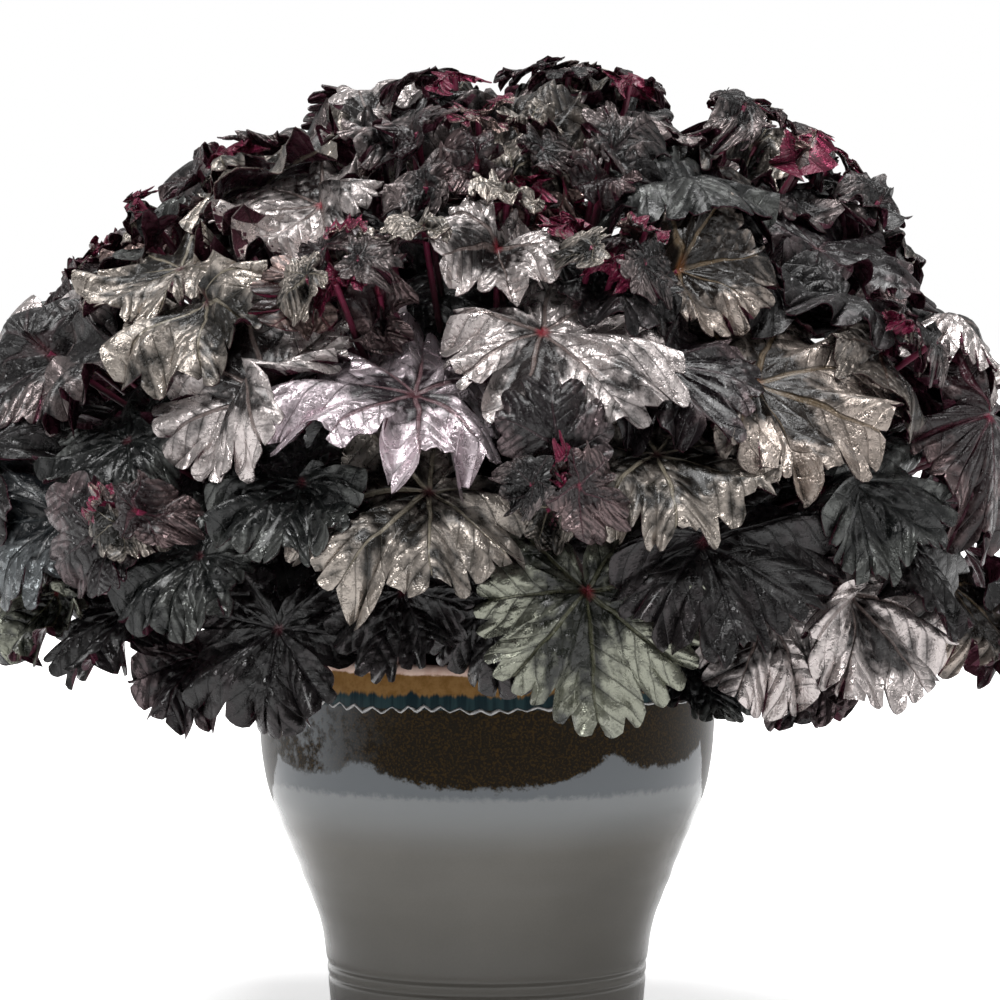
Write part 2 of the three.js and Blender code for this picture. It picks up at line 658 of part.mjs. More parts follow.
function makePlant() {
  const plant = new THREE.Group();
  const tufts = ROSETTES.map(([azimuth, elevation]) => direction(azimuth, elevation));
  const heads = tufts.map((tuft) => tuft.clone().multiplyScalar(BRANCH_REACH).add(CROWN));
  const layouts = new Map([
    [FULL, matureLayout(FULL.lobes)], [PLAIN, matureLayout(PLAIN.lobes)], [YOUNG, youngLayout()],
  ]);
  const bodies = heads.map((head) => makeBranch(head));
  for (const leaf of growLeaves(tufts, layouts)) {
    const i = nearestTuft(leaf.way, tufts);
    const start = stalkStart(heads[i], tufts[i], leaf);
    bodies[i] = bodies[i].add(leafSolid(leaf, layouts.get(leaf.kind), start));
  }
  bodies.forEach((body, i) => {
    plant.add(meshOf(withoutHollows(body), `rosette_${String(i + 1).padStart(2, '0')}`, 0x3b2a33, 0.4));
  });
  plant.add(makeSoil(heads));
  return plant;
}

const heuchera = new THREE.Group();
heuchera.add(makePot());
heuchera.add(makePlant());

export default heuchera;
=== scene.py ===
"""Looks of a potted heuchera: ruffled dark leaves on fourteen rosettes, a glazed pot and its soil.

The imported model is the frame. The leaves' places, bends and stalks follow the same rules and the same
seeded draws as the solids, so each finer piece lies where the solid that it replaces lies. Lengths are
millimetres until a mesh is made and metres after that. Angles are degrees unless a comment says
otherwise: azimuths run from the front towards +X, and elevations rise from the horizon. +Z is up,
the front faces -Y, and the origin is the middle of the pot's flat base.
"""

import logging
from dataclasses import dataclass, field, replace
from enum import Enum

import bpy
import numpy as np
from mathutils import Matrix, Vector


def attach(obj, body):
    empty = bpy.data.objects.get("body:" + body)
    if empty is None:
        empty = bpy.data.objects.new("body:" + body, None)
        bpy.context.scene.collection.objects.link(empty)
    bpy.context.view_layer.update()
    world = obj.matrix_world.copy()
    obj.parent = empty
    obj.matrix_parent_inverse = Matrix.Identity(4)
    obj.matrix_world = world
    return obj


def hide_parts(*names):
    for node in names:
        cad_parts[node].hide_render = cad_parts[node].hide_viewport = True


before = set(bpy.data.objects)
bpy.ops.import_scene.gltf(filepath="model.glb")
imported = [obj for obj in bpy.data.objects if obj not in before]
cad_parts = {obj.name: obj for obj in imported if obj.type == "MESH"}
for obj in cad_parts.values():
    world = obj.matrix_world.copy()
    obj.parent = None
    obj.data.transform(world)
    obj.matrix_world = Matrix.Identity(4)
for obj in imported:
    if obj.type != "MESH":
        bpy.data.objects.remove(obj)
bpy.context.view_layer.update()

LOG = logging.getLogger("heuchera")
Colour = tuple[float, float, float]
Array = np.ndarray

MM = 0.001
CROWN = np.array([0.0, 0.0, 170.0])
LOBED_TURN = 322.0
LOBE_WAVE = 0.07
SLOW_WAVE = 0.06
GOLDEN_ANGLE = 137.508
SOIL_TOP = 167.0


# ---- small maths
def direction(azimuth: Array | float, elevation: Array | float) -> Array:
    """Unit vectors from the crown.

    Args:
        azimuth: their azimuths.
        elevation: their elevations.

    Returns:
        The vectors, which run round by sine and cosine of the azimuth.
    """
    a = np.radians(azimuth)
    e = np.radians(elevation)
    return np.stack([np.sin(a) * np.cos(e), -np.cos(a) * np.cos(e), np.sin(e) + 0 * a], axis=-1)


def unit(vectors: Array) -> Array:
    """The vectors, scaled to length 1 along their last axis."""
    return vectors / np.linalg.norm(vectors, axis=-1, keepdims=True)


class Draws:
    """Seeded draws from a linear congruential generator, the one that the solids are grown with."""

    def __init__(self, seed: int) -> None:
        """Starts the row of draws at a seed."""
        self.state = seed

    def draw(self, low: float, high: float) -> float:
        """The next draw, evenly spread from low to high."""
        self.state = (self.state * 1664525 + 1013904223) % 2**32
        return low + (high - low) * self.state / 2**32


@dataclass(frozen=True)
class Dome:
    """The surface that the leaf bases follow, as a reach from the crown for each elevation."""

    top: float = 288.0
    fall: float = 90.0
    shoulder: float = 60.0
    spread: float = 65.0
    power: float = 3.2

    def reach(self, elevation: Array | float) -> Array | float:
        """Reach from the crown: full above the shoulder, then falling off with a power law."""
        below = np.maximum(0, (self.shoulder - elevation) / self.spread)
        return self.top - self.fall * below**self.power

    def slope(self, azimuth: float, elevation: float) -> tuple[Array, Array, Array]:
        """Three square unit vectors on the dome.

        Args:
            azimuth: where on the dome.
            elevation: where on the dome.

        Returns:
            The way down the dome, the way sideways and the way out of it.
        """
        below = direction(azimuth, elevation - 1) * self.reach(elevation - 1)
        above = direction(azimuth, elevation + 1) * self.reach(elevation + 1)
        down = unit(below - above)
        a = np.radians(azimuth)
        side = np.array([np.cos(a), np.sin(a), 0.0])
        return down, side, np.cross(down, side)


DOME = Dome()


# ---- leaf kinds and shades
@dataclass(frozen=True)
class Shade:
    """Colours of one leaf in linear light, and the share of its ground that the silver covers. The silver
    colour is partly the leaf's own and partly painted sheen.
    """

    ground: Colour
    silver_and_painted_sheen: Colour
    silver: float
    vein: Colour
    junction: Colour = (0.05, 0.01, 0.015)
    back: Colour = (0.050, 0.012, 0.022)


class Tone(Enum):
    """The shades that the leaves of one plant show."""

    LILAC = Shade((0.008, 0.005, 0.007), (0.49, 0.42, 0.45), 0.66, (0.16, 0.09, 0.10))
    SILVER = Shade((0.006, 0.004, 0.004), (0.45, 0.405, 0.395), 0.62, (0.16, 0.12, 0.11), (0.17, 0.01, 0.02))
    BLUE = Shade((0.004, 0.005, 0.006), (0.13, 0.14, 0.145), 0.36, (0.03, 0.034, 0.036))
    PEWTER = Shade((0.005, 0.004, 0.003), (0.30, 0.265, 0.235), 0.48, (0.24, 0.21, 0.16))
    OLIVE = Shade((0.004, 0.005, 0.003), (0.20, 0.205, 0.165), 0.46, (0.07, 0.07, 0.04), (0.17, 0.01, 0.02))
    BRONZE = Shade((0.006, 0.004, 0.003), (0.30, 0.255, 0.225), 0.50, (0.14, 0.10, 0.06), (0.16, 0.06, 0.02))
    SLATE = Shade((0.003, 0.0036, 0.0036), (0.075, 0.078, 0.074), 0.32, (0.014, 0.016, 0.015))
    DUSK = Shade((0.004, 0.003, 0.0034), (0.14, 0.115, 0.113), 0.34, (0.035, 0.022, 0.024))
    PLUM = Shade((0.004, 0.0022, 0.003), (0.10, 0.075, 0.078), 0.28, (0.03, 0.013, 0.017))
    BLACK = Shade((0.002, 0.0014, 0.0016), (0.028, 0.024, 0.025), 0.20, (0.007, 0.005, 0.006))
    WINE = Shade((0.007, 0.002, 0.003), (0.12, 0.085, 0.085), 0.28, (0.05, 0.010, 0.018), (0.14, 0.01, 0.03))
    BROWN = Shade((0.005, 0.0035, 0.003), (0.15, 0.13, 0.115), 0.34, (0.05, 0.028, 0.020))
    RED = Shade(
        (0.014, 0.004, 0.004), (0.22, 0.155, 0.14), 0.32, (0.09, 0.015, 0.022), (0.20, 0.01, 0.03),
        (0.12, 0.009, 0.032),
    )


@dataclass(frozen=True)
class Layout:
    """Corners of a solid's blade, as angle and share of the way to the edge, and its triangles."""

    corners: Array
    faces: Array


def mature_layout(lobes: int, notch: float = 0.28, rib: float = 0.55, edge: float = 0.97,
                  valley: float = 0.72, off: float = 0.24) -> Layout:
    """Corners and triangles of a mature blade: middle, notch, ribs, then the edge.

    Args:
        lobes: number of lobes round the blade, which is odd.
        notch: share of the way to the edge that the notch's corner lies at.
        rib: the same for the corner on each lobe's rib.
        edge: the same for the two outer corners of a lobe.
        valley: the same for the corner between two lobes.
        off: how far a lobe's outer corners lie off its middle, as a share of a lobe's pitch.

    Returns:
        The layout. Each lobe has a rib corner and two rounded corners, with a valley to the next.
    """
    corners = [(0.0, 0.0), (180.0, notch)]
    faces = []
    middle = (lobes - 1) // 2
    pitch = LOBED_TURN / lobes
    corners += [((lobe - middle) * pitch, rib) for lobe in range(lobes)]
    outer = 2 + lobes
    for lobe in range(lobes):
        centre = (lobe - middle) * pitch
        first = outer + 3 * lobe
        inner = 2 + lobe
        corners += [(centre - off * pitch, edge), (centre + off * pitch, edge)]
        faces.append((inner, first, first + 1))
        if lobe < lobes - 1:
            corners.append((centre + pitch / 2, valley))
            faces += [(inner, first + 1, first + 2), (inner, first + 2, inner + 1)]
            faces += [(inner + 1, first + 2, first + 3), (0, inner, inner + 1)]
    last = outer + 3 * lobes - 2
    faces += [(0, 1 + lobes, 1), (0, 1, 2), (1 + lobes, last, 1), (2, 1, outer)]
    return Layout(np.array(corners), np.array(faces))


def young_layout(notch: float = 0.3, pitch: float = 31.0, valley: float = 0.72) -> Layout:
    """Corners and triangles of a young blade: five pointed lobes round its middle.

    Args:
        notch: share of the way to the edge that the notch's corner lies at.
        pitch: angle from a lobe to the valley beside it.
        valley: share of the way to the edge that a valley lies at.

    Returns:
        The layout, a fan of triangles.
    """
    corners = [(0.0, 0.0), (180.0, notch)]
    corners += [(pitch * i, 1.0 if i % 2 == 0 else valley) for i in range(-4, 5)]
    rim = list(range(1, len(corners)))
    faces = [(0, corner, rim[(i + 1) % len(rim)]) for i, corner in enumerate(rim)]
    return Layout(np.array(corners), np.array(faces))


@dataclass(frozen=True)
class BladeGrid:
    """Fine grid of a blade: columns round it, and rings from its middle to its toothed edge."""

    lobes: int
    teeth: int
    tooth_columns: int
    rings: int
    notch_columns: int = 8
    valley: float = 0.89
    notch: float = 0.28
    tooth_depth: float = 0.12
    tooth_roundness: float = 0.3
    crest: float = 1.03

    def angles(self) -> Array:
        """Angles of the columns.

        Returns:
            Angles from the tip, even round the lobes and then across the notch.
        """
        half = LOBED_TURN / 2
        lobed = np.linspace(-half, half, self.lobes * self.teeth * self.tooth_columns + 1)
        notched = np.linspace(half, 360 - half, self.notch_columns + 1)[1:-1]
        return np.concatenate([lobed, notched])

    def shares(self) -> Array:
        """Shares of the way to the edge, from 0, closer together towards the edge."""
        steps = np.linspace(0, 1, self.rings + 1)
        return 1 - (1 - steps) ** 1.25

    def across_lobe(self, angles: Array) -> Array:
        """How far off a lobe's middle angles lie.

        Args:
            angles: angles from the tip.

        Returns:
            0 at the nearest lobe's middle, and 1 half a lobe away and beyond.
        """
        turns = angles / (LOBED_TURN / self.lobes)
        reach = (self.lobes - 1) / 2
        nearest = np.clip(np.round(turns), -reach, reach)
        return np.minimum(1, 2 * np.abs(turns - nearest))

    def tooth(self, angles: Array) -> Array:
        """Place on a tooth: 1 in its middle and 0 in the notches beside it."""
        return np.abs(np.sin(np.pi * self.teeth * (angles / (LOBED_TURN / self.lobes) + 0.5)))

    def fields(self) -> tuple[Array, Array, Array, Array]:
        """What the formulas of a blade run over.

        Returns:
            The columns' angles in degrees and in radians, a phase in radians that gains one turn a
            lobe, and the rings' shares of the way to the edge as a column.
        """
        base = self.angles()
        angles = np.radians(base)
        return base, angles, angles * 360 / LOBED_TURN * self.lobes, self.shares()[:, None]

    def edge(self, angles: Array) -> Array:
        """Share of the way to the envelope that the blade's edge lies at.

        Args:
            angles: angles round the blade from its tip, up to 360 less half of the lobed turn.

        Returns:
            Lobes rise out of their valleys as the root of 1 - across^4. Rounded teeth, a low power
            of a sine, are cut into them. Past the outermost lobes the edge runs into the notch.
        """
        half = LOBED_TURN / 2
        signed = np.where(angles > 180, angles - 360, angles)
        lobe = self.valley + (self.crest - self.valley) * (1 - self.across_lobe(signed) ** 4) ** 0.5
        lobed = lobe * (1 - self.tooth_depth * (1 - self.tooth(signed) ** self.tooth_roundness))
        end = self.valley * (1 - self.tooth_depth)
        past = np.clip((180 - np.abs(signed)) / (180 - half), 0, 1)
        return np.where(np.abs(signed) <= half + 1e-6, lobed, self.notch + (end - self.notch) * past)


@dataclass(frozen=True)
class LeafKind:
    """How leaves of one kind stand, how many lobes they have, and their coarse and fine shapes."""

    lobes: int
    depth: float
    thickness: float
    tilt: tuple[float, float]
    lift: float
    most_push: float
    layout: Layout
    grid: BladeGrid


FULL = LeafKind(7, 24, 1.4, (8, 20), 1 / 25, 90, mature_layout(7), BladeGrid(7, 4, 6, 12))
PLAIN = LeafKind(5, 24, 1.4, (8, 20), 1 / 25, 45, mature_layout(5), BladeGrid(5, 4, 6, 8))
YOUNG = LeafKind(5, 36, 1.8, (46, 56), 0, 34, young_layout(), BladeGrid(5, 3, 5, 7, 4, 0.84, 0.3))
INNER_GRID = BladeGrid(5, 2, 4, 5, 4)


@dataclass(frozen=True)
class Stance:
    """Where a blade stands: the foot of its middle and three square ways, from the crown."""

    base: Array
    across: Array
    heading: Array
    normal: Array

    def rolled(self, roll: float) -> "Stance":
        """Rolls the stance to one side round its tip's way.

        Args:
            roll: the angle.

        Returns:
            The rolled stance.
        """
        a = np.radians(roll)
        across = self.across * np.cos(a) + self.normal * np.sin(a)
        return replace(self, across=across, normal=self.normal * np.cos(a) - self.across * np.sin(a))


@dataclass(frozen=True)
class Lie:
    """How a fine blade lies: its turn, how far it faces up more than the dome, and its size."""

    turn: float
    lean: float
    size: float


@dataclass
class Leaf:
    """One leaf of the plan. Calm is the share of its waves that is left, and 1 leaves them all."""

    kind: LeafKind
    azimuth: float
    elevation: float
    turn: float
    span: float
    tilt: float
    phase: float
    sway: float
    shade: Shade
    calm: float = 1.0
    lie: Lie | None = None
    way: Array = field(init=False)

    def __post_init__(self) -> None:
        """Works out the way from the crown to the leaf's base."""
        self.way = direction(self.azimuth, self.elevation)

    def stance(self, lean: float = 0) -> Stance:
        """How the blade stands.

        Args:
            lean: how far the blade faces up more than the dome does.

        Returns:
            Its stance: its heading turns from straight down the dome, then tilts outwards.
        """
        down, side, outward = DOME.slope(self.azimuth, self.elevation)
        a = np.radians(lean)
        down, outward = down * np.cos(a) + outward * np.sin(a), outward * np.cos(a) - down * np.sin(a)
        turn = np.radians(self.turn)
        tilt = np.radians(self.tilt * (0.4 + 0.6 * self.calm))
        flat = down * np.cos(turn) + side * np.sin(turn)
        return Stance(
            base=self.way * (DOME.reach(self.elevation) - self.kind.depth),
            across=np.cross(outward, flat),
            heading=flat * np.cos(tilt) + outward * np.sin(tilt),
            normal=outward * np.cos(tilt) - flat * np.sin(tilt),
        )


def envelope(span: float, angles: Array) -> Array:
    """Reach of a blade's longest lobes: longer at its tip than beside its stalk."""
    return span * (0.47 + 0.11 * np.cos(np.radians(angles)))


def blade_points(leaf: Leaf, stance: Stance, angles: Array, shares: Array, fine: Array | float = 0) -> Array:
    """Points of a blade, from the crown.

    Args:
        leaf: the leaf, for its span, its calm and the phases of its waves.
        stance: where the blade stands.
        angles: angles from the tip, which rise towards the stance's across way.
        shares: shares of the way to the envelope, in the same shape as the angles.
        fine: extra lift as a share of the span.

    Returns:
        Points that run out along the envelope and are lifted along the normal: an arch that dips
        towards the edge, one wave a lobe and one slow wave, both growing with the share squared.
    """
    a = np.radians(angles)
    reach = envelope(leaf.span, angles) * shares
    arch = 0.1 * shares - 0.18 * shares**2
    lobe_wave = LOBE_WAVE * np.sin(a * 360 * leaf.kind.lobes / LOBED_TURN + np.radians(leaf.phase))
    slow_wave = SLOW_WAVE * np.sin(2.3 * a + np.radians(leaf.sway))
    lift = leaf.span * (arch + leaf.calm * shares**2 * (lobe_wave + slow_wave) + fine)
    ahead = (reach * np.cos(a))[..., None] * stance.heading
    aside = (reach * np.sin(a))[..., None] * stance.across
    return stance.base + ahead + aside + lift[..., None] * stance.normal


# ---- canopy
@dataclass(frozen=True)
class Cells:
    """Grid directions that pass through a blade: their rows and columns, triangles and shares."""

    rows: Array
    columns: Array
    faces: Array
    shares: Array

    def reach(self, reaches: Array) -> Array:
        """Reach of the blade in each cell: one over the shared sum of one over the corners' reach."""
        return 1 / np.sum(self.shares / reaches[self.faces], axis=1)


class Canopy:
    """A grid of directions from the crown, laid out flat round straight up, with the outermost reach."""

    CELL = 0.5
    EDGE = 112
    CLEARANCE = 1.0
    STIFFNESS = 0.5
    OPEN_CELLS = 2
    ROUNDS = 40
    SETTLED = 0.02

    def __init__(self) -> None:
        """Starts with no leaf in any cell."""
        self.size = round(2 * self.EDGE / self.CELL) + 1
        self.reach = np.zeros((self.size, self.size))

    def place(self, ways: Array) -> Array:
        """Where unit vectors lie on the grid.

        Args:
            ways: the vectors.

        Returns:
            Column and row of each, with fractions. Their distance from the middle is the tilt from up.
        """
        tilt = np.degrees(np.arccos(np.clip(ways[..., 2], -1, 1)))
        flat = np.hypot(ways[..., 0], ways[..., 1])
        scale = tilt / np.where(flat > 0, flat, 1)
        return (ways[..., :2] * scale[..., None] + self.EDGE) / self.CELL

    def ways(self, columns: Array, rows: Array) -> Array:
        """Ways from the crown through cells.

        Args:
            columns: the cells' columns.
            rows: their rows.

        Returns:
            A unit vector for each cell, tilted from up by its distance from the middle.
        """
        x = columns * self.CELL - self.EDGE
        y = rows * self.CELL - self.EDGE
        tilt = np.hypot(x, y)
        scale = np.where(tilt > 0, np.sin(np.radians(tilt)) / np.where(tilt > 0, tilt, 1), 0)
        return np.stack([x * scale, y * scale, np.cos(np.radians(tilt))], axis=-1)

    def is_open(self, way: Array) -> bool:
        """Tells whether a place is free.

        Args:
            way: unit vector from the crown.

        Returns:
            Whether no leaf lies in the way or in the cells next to it.
        """
        column, row = np.floor(self.place(way) + 0.5).astype(int)
        near = self.OPEN_CELLS
        return not self.reach[row - near : row + near + 1, column - near : column + near + 1].any()

    def cells(self, ways: Array, faces: Array) -> Cells:
        """Finds the cells whose directions pass through a blade.

        Args:
            ways: unit vectors of the blade's corners.
            faces: its triangles, as rows of three corners.

        Returns:
            A cell for each direction and triangle that it passes through, with the three shares.
        """
        places = self.place(ways)[faces]
        low = np.floor(places.min(axis=1)).astype(int)
        high = np.ceil(places.max(axis=1)).astype(int)
        left, top = low.min(axis=0)
        right, bottom = high.max(axis=0)
        columns, rows = np.meshgrid(np.arange(left, right + 1), np.arange(top, bottom + 1))
        columns, rows = columns.ravel(), rows.ravel()
        a, b, c = ways[faces].transpose(1, 0, 2)
        crossings = np.stack([np.cross(b, c), np.cross(c, a), np.cross(a, b)], axis=1)
        volume = np.sum(a * crossings[:, 0], axis=1)
        shares = np.einsum("nd,fkd->nfk", self.ways(columns, rows), crossings) / volume[:, None]
        inside = shares.min(axis=2) > -1e-9
        inside &= (columns[:, None] >= low[:, 0]) & (columns[:, None] <= high[:, 0])
        inside &= (rows[:, None] >= low[:, 1]) & (rows[:, None] <= high[:, 1])
        cell, face = np.nonzero(inside)
        return Cells(rows[cell], columns[cell], faces[face], shares[cell, face])

    def mark(self, rows: Array, columns: Array, reach: Array) -> None:
        """Raises the outermost reach in cells and in the ones next to them.

        Args:
            rows: the cells' rows.
            columns: their columns.
            reach: the new reach in each.
        """
        for i in (-1, 0, 1):
            for j in (-1, 0, 1):
                np.maximum.at(self.reach, (rows + i, columns + j), reach)

    def bend_clear(self, points: Array, cells: Cells) -> Array:
        """Raises a blade's corners until it clears everything placed so far.

        Args:
            points: the corners, from the crown.
            cells: the cells that the blade passes through.

        Returns:
            The corners' new reaches. A raise falls off around its corner by the blade's stiffness.
        """
        start = np.linalg.norm(points, axis=1)
        apart = np.linalg.norm(points[:, None] - points, axis=2)
        placed = self.reach[cells.rows, cells.columns]
        reaches = start.copy()
        for _ in range(self.ROUNDS):
            reach = cells.reach(reaches)
            short = np.where(placed > 0, placed + self.CLEARANCE - reach, 0)
            weights = cells.shares * reach[:, None] / reaches[cells.faces]
            push = short[:, None] * weights / np.sum(weights**2, axis=1, keepdims=True)
            lift = np.zeros(len(points))
            np.maximum.at(lift, cells.faces[short > 0], push[short > 0])
            if lift.max() < self.SETTLED:
                break
            lifts = reaches + lift - start
            reaches = start + np.max(lifts - self.STIFFNESS * apart, axis=1)
        return reaches


def least_thickness(ways: Array, reaches: Array, faces: Array, thickness: float) -> float:
    """Least thickness square to a blade that is thickened along the ways from the crown.

    Args:
        ways: unit vectors of its corners.
        reaches: their reaches.
        faces: its triangles.
        thickness: thickness along the ways.

    Returns:
        The thickness times the least cosine between a triangle's normal and a corner's way.
    """
    a, b, c = (ways * reaches[:, None])[faces].transpose(1, 0, 2)
    square = unit(np.cross(b - a, c - a))
    return thickness * np.einsum("fd,fkd->fk", square, ways[faces]).min()


# ---- growth
@dataclass
class Plant:
    """Plans all leaves and lays them over each other, with the rules of the solids.

    Front lists the leaves placed one by one, as azimuth, elevation, turn, span and tone, and lies says
    how some of their fine blades lie. Leaf_gap and tuft_gap are angles kept between two mature
    leaves' bases and between one and a rosette's middle.
    """

    rosettes: tuple[tuple[float, float], ...] = (
        (5, 60), (-18, 43.5), (17, 44.5), (54, 36), (-40, 19), (7, 22.5), (100, 57), (-75, 52),
        (100, 26), (138, 42), (178, 60), (-140, 42), (-98, 20), (178, 24),
    )
    # The tones are partly painted shade: leaves that lie in shade are given darker tones.
    front: tuple[tuple[float, float, float, float, Tone], ...] = (
        (-8, 33, -63, 112, Tone.LILAC), (7, 40, 15, 100, Tone.SILVER), (-6, 23.5, -6, 104, Tone.PEWTER),
        (11, 14, 6, 98, Tone.OLIVE), (19, 27, 9, 100, Tone.PEWTER), (33, 34, 84, 112, Tone.BRONZE),
        (45, 13, 60, 98, Tone.SILVER), (24, 18.5, 50, 100, Tone.BLACK), (-26, 33, -66, 96, Tone.SILVER),
        (45, 24, 66, 92, Tone.SLATE), (33, 12, 9, 84, Tone.SILVER), (-9, 14, -18, 90, Tone.BLACK),
        (1, 13, 0, 80, Tone.BLACK), (-33, 17, -54, 96, Tone.SLATE), (-46, 11, -42, 86, Tone.BLACK),
        (-24, 10, -6, 88, Tone.BLACK), (-36, 6.5, 3, 72, Tone.PLUM), (-20, 24, 0, 96, Tone.SLATE),
        (-45, 28, 12, 92, Tone.SLATE), (-55, 20, -66, 92, Tone.BLUE), (-57, 12, -63, 84, Tone.OLIVE),
        (-54, 38, 36, 98, Tone.DUSK), (-70, 36, -42, 92, Tone.DUSK), (-38, 42, -27, 96, Tone.PEWTER),
        (-52, 48, -54, 96, Tone.PEWTER), (-32, 58, -57, 104, Tone.SILVER), (-16, 53, 15, 92, Tone.BLACK),
        (43, 71, 126, 92, Tone.DUSK), (-40, 77, -30, 80, Tone.BROWN), (60, 66, 120, 76, Tone.BROWN),
        (86, 60, 60, 110, Tone.DUSK), (68, 51, 50, 110, Tone.PLUM), (28, 47, 20, 84, Tone.BRONZE),
        (21, 36.5, -15, 92, Tone.PLUM), (70, 38, 60, 92, Tone.SILVER), (65, 27, 40, 92, Tone.WINE),
        (55, 18, 36, 90, Tone.BLACK), (76, 12, 30, 90, Tone.BRONZE), (40, 5, 5, 80, Tone.PLUM),
        (25, 6.5, 5, 84, Tone.SLATE), (15, 82, 160, 98, Tone.DUSK),
    )
    lies: dict[int, Lie] = field(default_factory=lambda: {
        0: Lie(-84, 33, 1.0), 1: Lie(30, 2, 0.98), 2: Lie(-42, 26, 1.12), 3: Lie(6, 8, 1.0),
        4: Lie(44, 30, 1.05), 5: Lie(88, 32, 1.05), 6: Lie(66, 46, 1.08), 7: Lie(50, 22, 1.0),
        8: Lie(-112, 8, 1.0), 9: Lie(72, 26, 1.05), 10: Lie(12, 26, 0.92), 11: Lie(-18, 12, 0.72),
        12: Lie(0, 6, 0.88), 13: Lie(-54, 24, 0.9), 14: Lie(-42, 40, 0.86), 15: Lie(-6, 14, 0.86),
        16: Lie(0, 60, 0.8), 17: Lie(-50, 22, 0.8), 20: Lie(-63, 50, 0.8), 31: Lie(50, 0, 0.82),
        38: Lie(20, 64, 0.72), 39: Lie(60, 64, 0.7),
    })
    common: tuple[Tone, ...] = (
        Tone.BLACK, Tone.PLUM, Tone.DUSK, Tone.SLATE, Tone.PEWTER, Tone.BLACK, Tone.SILVER, Tone.DUSK,
        Tone.BROWN, Tone.BRONZE, Tone.PLUM, Tone.SLATE,
    )
    seed: int = 9
    mature_leaves: int = 92
    mature_tries: int = 6000
    fillers: int = 22
    filler_tries: int = 700
    lowest_base: float = 14.0
    thinnest: float = 0.62
    leaf_gap: float = 12.0
    tuft_gap: float = 10.5
    young_gap: float = 5.0
    mature_spans: tuple[float, float] = (100, 118)
    young_spans: tuple[float, float] = (46, 58)
    filler_spans: tuple[float, float] = (66, 84)
    downhill: float = 0.12
    stalk_margin: float = 6
    tuft_margin: float = 17
    trims: tuple[float, ...] = (1, 0.93, 0.86, 0.8)
    swings: tuple[int, ...] = (0, 12, -12, 24, -24, 36, -36, 50, -50, 65, -65)
    calms: tuple[float, ...] = (1, 0.8, 0.6, 0.4, 0.2, 0)

    def __post_init__(self) -> None:
        """Sets up the draws, the empty canopy and the ways to the rosettes' middles."""
        self.draws = Draws(self.seed)
        self.canopy = Canopy()
        places = np.array(self.rosettes)
        self.tufts = direction(places[:, 0], places[:, 1])
        self.leaves: list[Leaf] = []

    def new_leaf(self, kind: LeafKind, azimuth: float, elevation: float, turn: float, span: float,
                 tone: Tone | None = None) -> Leaf:
        """Plans a leaf, with its tilt and waves drawn.

        Args:
            kind: the leaf's kind.
            azimuth: where its base lies.
            elevation: where its base lies.
            turn: the way its tip points, from straight down the dome.
            span: its width.
            tone: its shade, or None to deal one from the common ones.

        Returns:
            The leaf, not yet laid.
        """
        tilt = self.draws.draw(*kind.tilt) + abs(turn) * kind.lift
        phase = self.draws.draw(20, 160)
        sway = self.draws.draw(0, 360)
        dealt = tone or self.common[int(sway * 7) % len(self.common)]
        return Leaf(kind, azimuth, elevation, turn, span, tilt, phase, sway, dealt.value)

    def nearest_tuft(self, way: Array) -> int:
        """Number of the rosette whose middle lies closest to a way."""
        return int(np.argmax(self.tufts @ way))

    def turn_from(self, azimuth: float, elevation: float) -> float:
        """The turn that points a leaf away from its rosette, leaning downhill.

        Args:
            azimuth: where its base lies.
            elevation: where its base lies.

        Returns:
            The turn from straight down the dome, with a drawn part.
        """
        way = direction(azimuth, elevation)
        away = way - self.tufts[self.nearest_tuft(way)]
        a = np.radians(azimuth)
        side = np.array([np.cos(a), np.sin(a), 0])
        down = direction(azimuth, elevation - 90)
        turn = float(np.degrees(np.arctan2(away @ side, away @ down + self.downhill)))
        return turn + self.draws.draw(-20, 20)

    def plan_mature(self) -> list[Leaf]:
        """Plans the listed leaves, and others thrown where they keep their distance.

        Returns:
            The leaves, lowest first.
        """
        leaves = [self.new_leaf(FULL, *entry) for entry in self.front]
        for i, leaf in enumerate(leaves):
            leaf.lie = self.lies.get(i)
        apart, clear = np.cos(np.radians([self.leaf_gap, self.tuft_gap]))
        for _ in range(self.mature_tries):
            if len(leaves) == self.mature_leaves:
                break
            azimuth = self.draws.draw(-180, 180)
            lowest = float(np.sin(np.radians(self.lowest_base)))
            elevation = float(np.degrees(np.arcsin(self.draws.draw(lowest, 1))))
            way = direction(azimuth, elevation)
            ways = np.array([leaf.way for leaf in leaves])
            if (ways @ way < apart).all() and (self.tufts @ way < clear).all():
                turn = self.turn_from(azimuth, elevation)
                span = self.draws.draw(*self.mature_spans)
                leaves.append(self.new_leaf(PLAIN, azimuth, elevation, turn, span))
        leaves.sort(key=lambda leaf: leaf.elevation)
        ways = np.array([leaf.way for leaf in leaves])
        for i, leaf in enumerate(leaves):
            self.settle(leaf, ways[i + 1 :])
        return leaves

    def intrusion(self, leaf: Leaf, stance: Stance, ways: Array, margin: float) -> float:
        """How far a blade reaches into the clear rings round other ways, in all.

        Args:
            leaf: the leaf.
            stance: where its blade stands.
            ways: unit vectors from the crown that should stay clear.
            margin: clear millimetres wanted round each of them.

        Returns:
            The sum of the depths.
        """
        near = ways[ways @ leaf.way >= 0.86]
        reach = (stance.base @ stance.normal) / (near @ stance.normal)
        offset = near * reach[:, None] - stance.base
        across, ahead = offset @ stance.across, offset @ stance.heading
        angles = np.degrees(np.arctan2(across, ahead))
        edge = np.where(np.abs(angles) > 160, 0.4, 0.95)
        depth = edge * envelope(leaf.span, angles) + margin - np.hypot(across, ahead)
        return float(np.maximum(0, depth).sum())

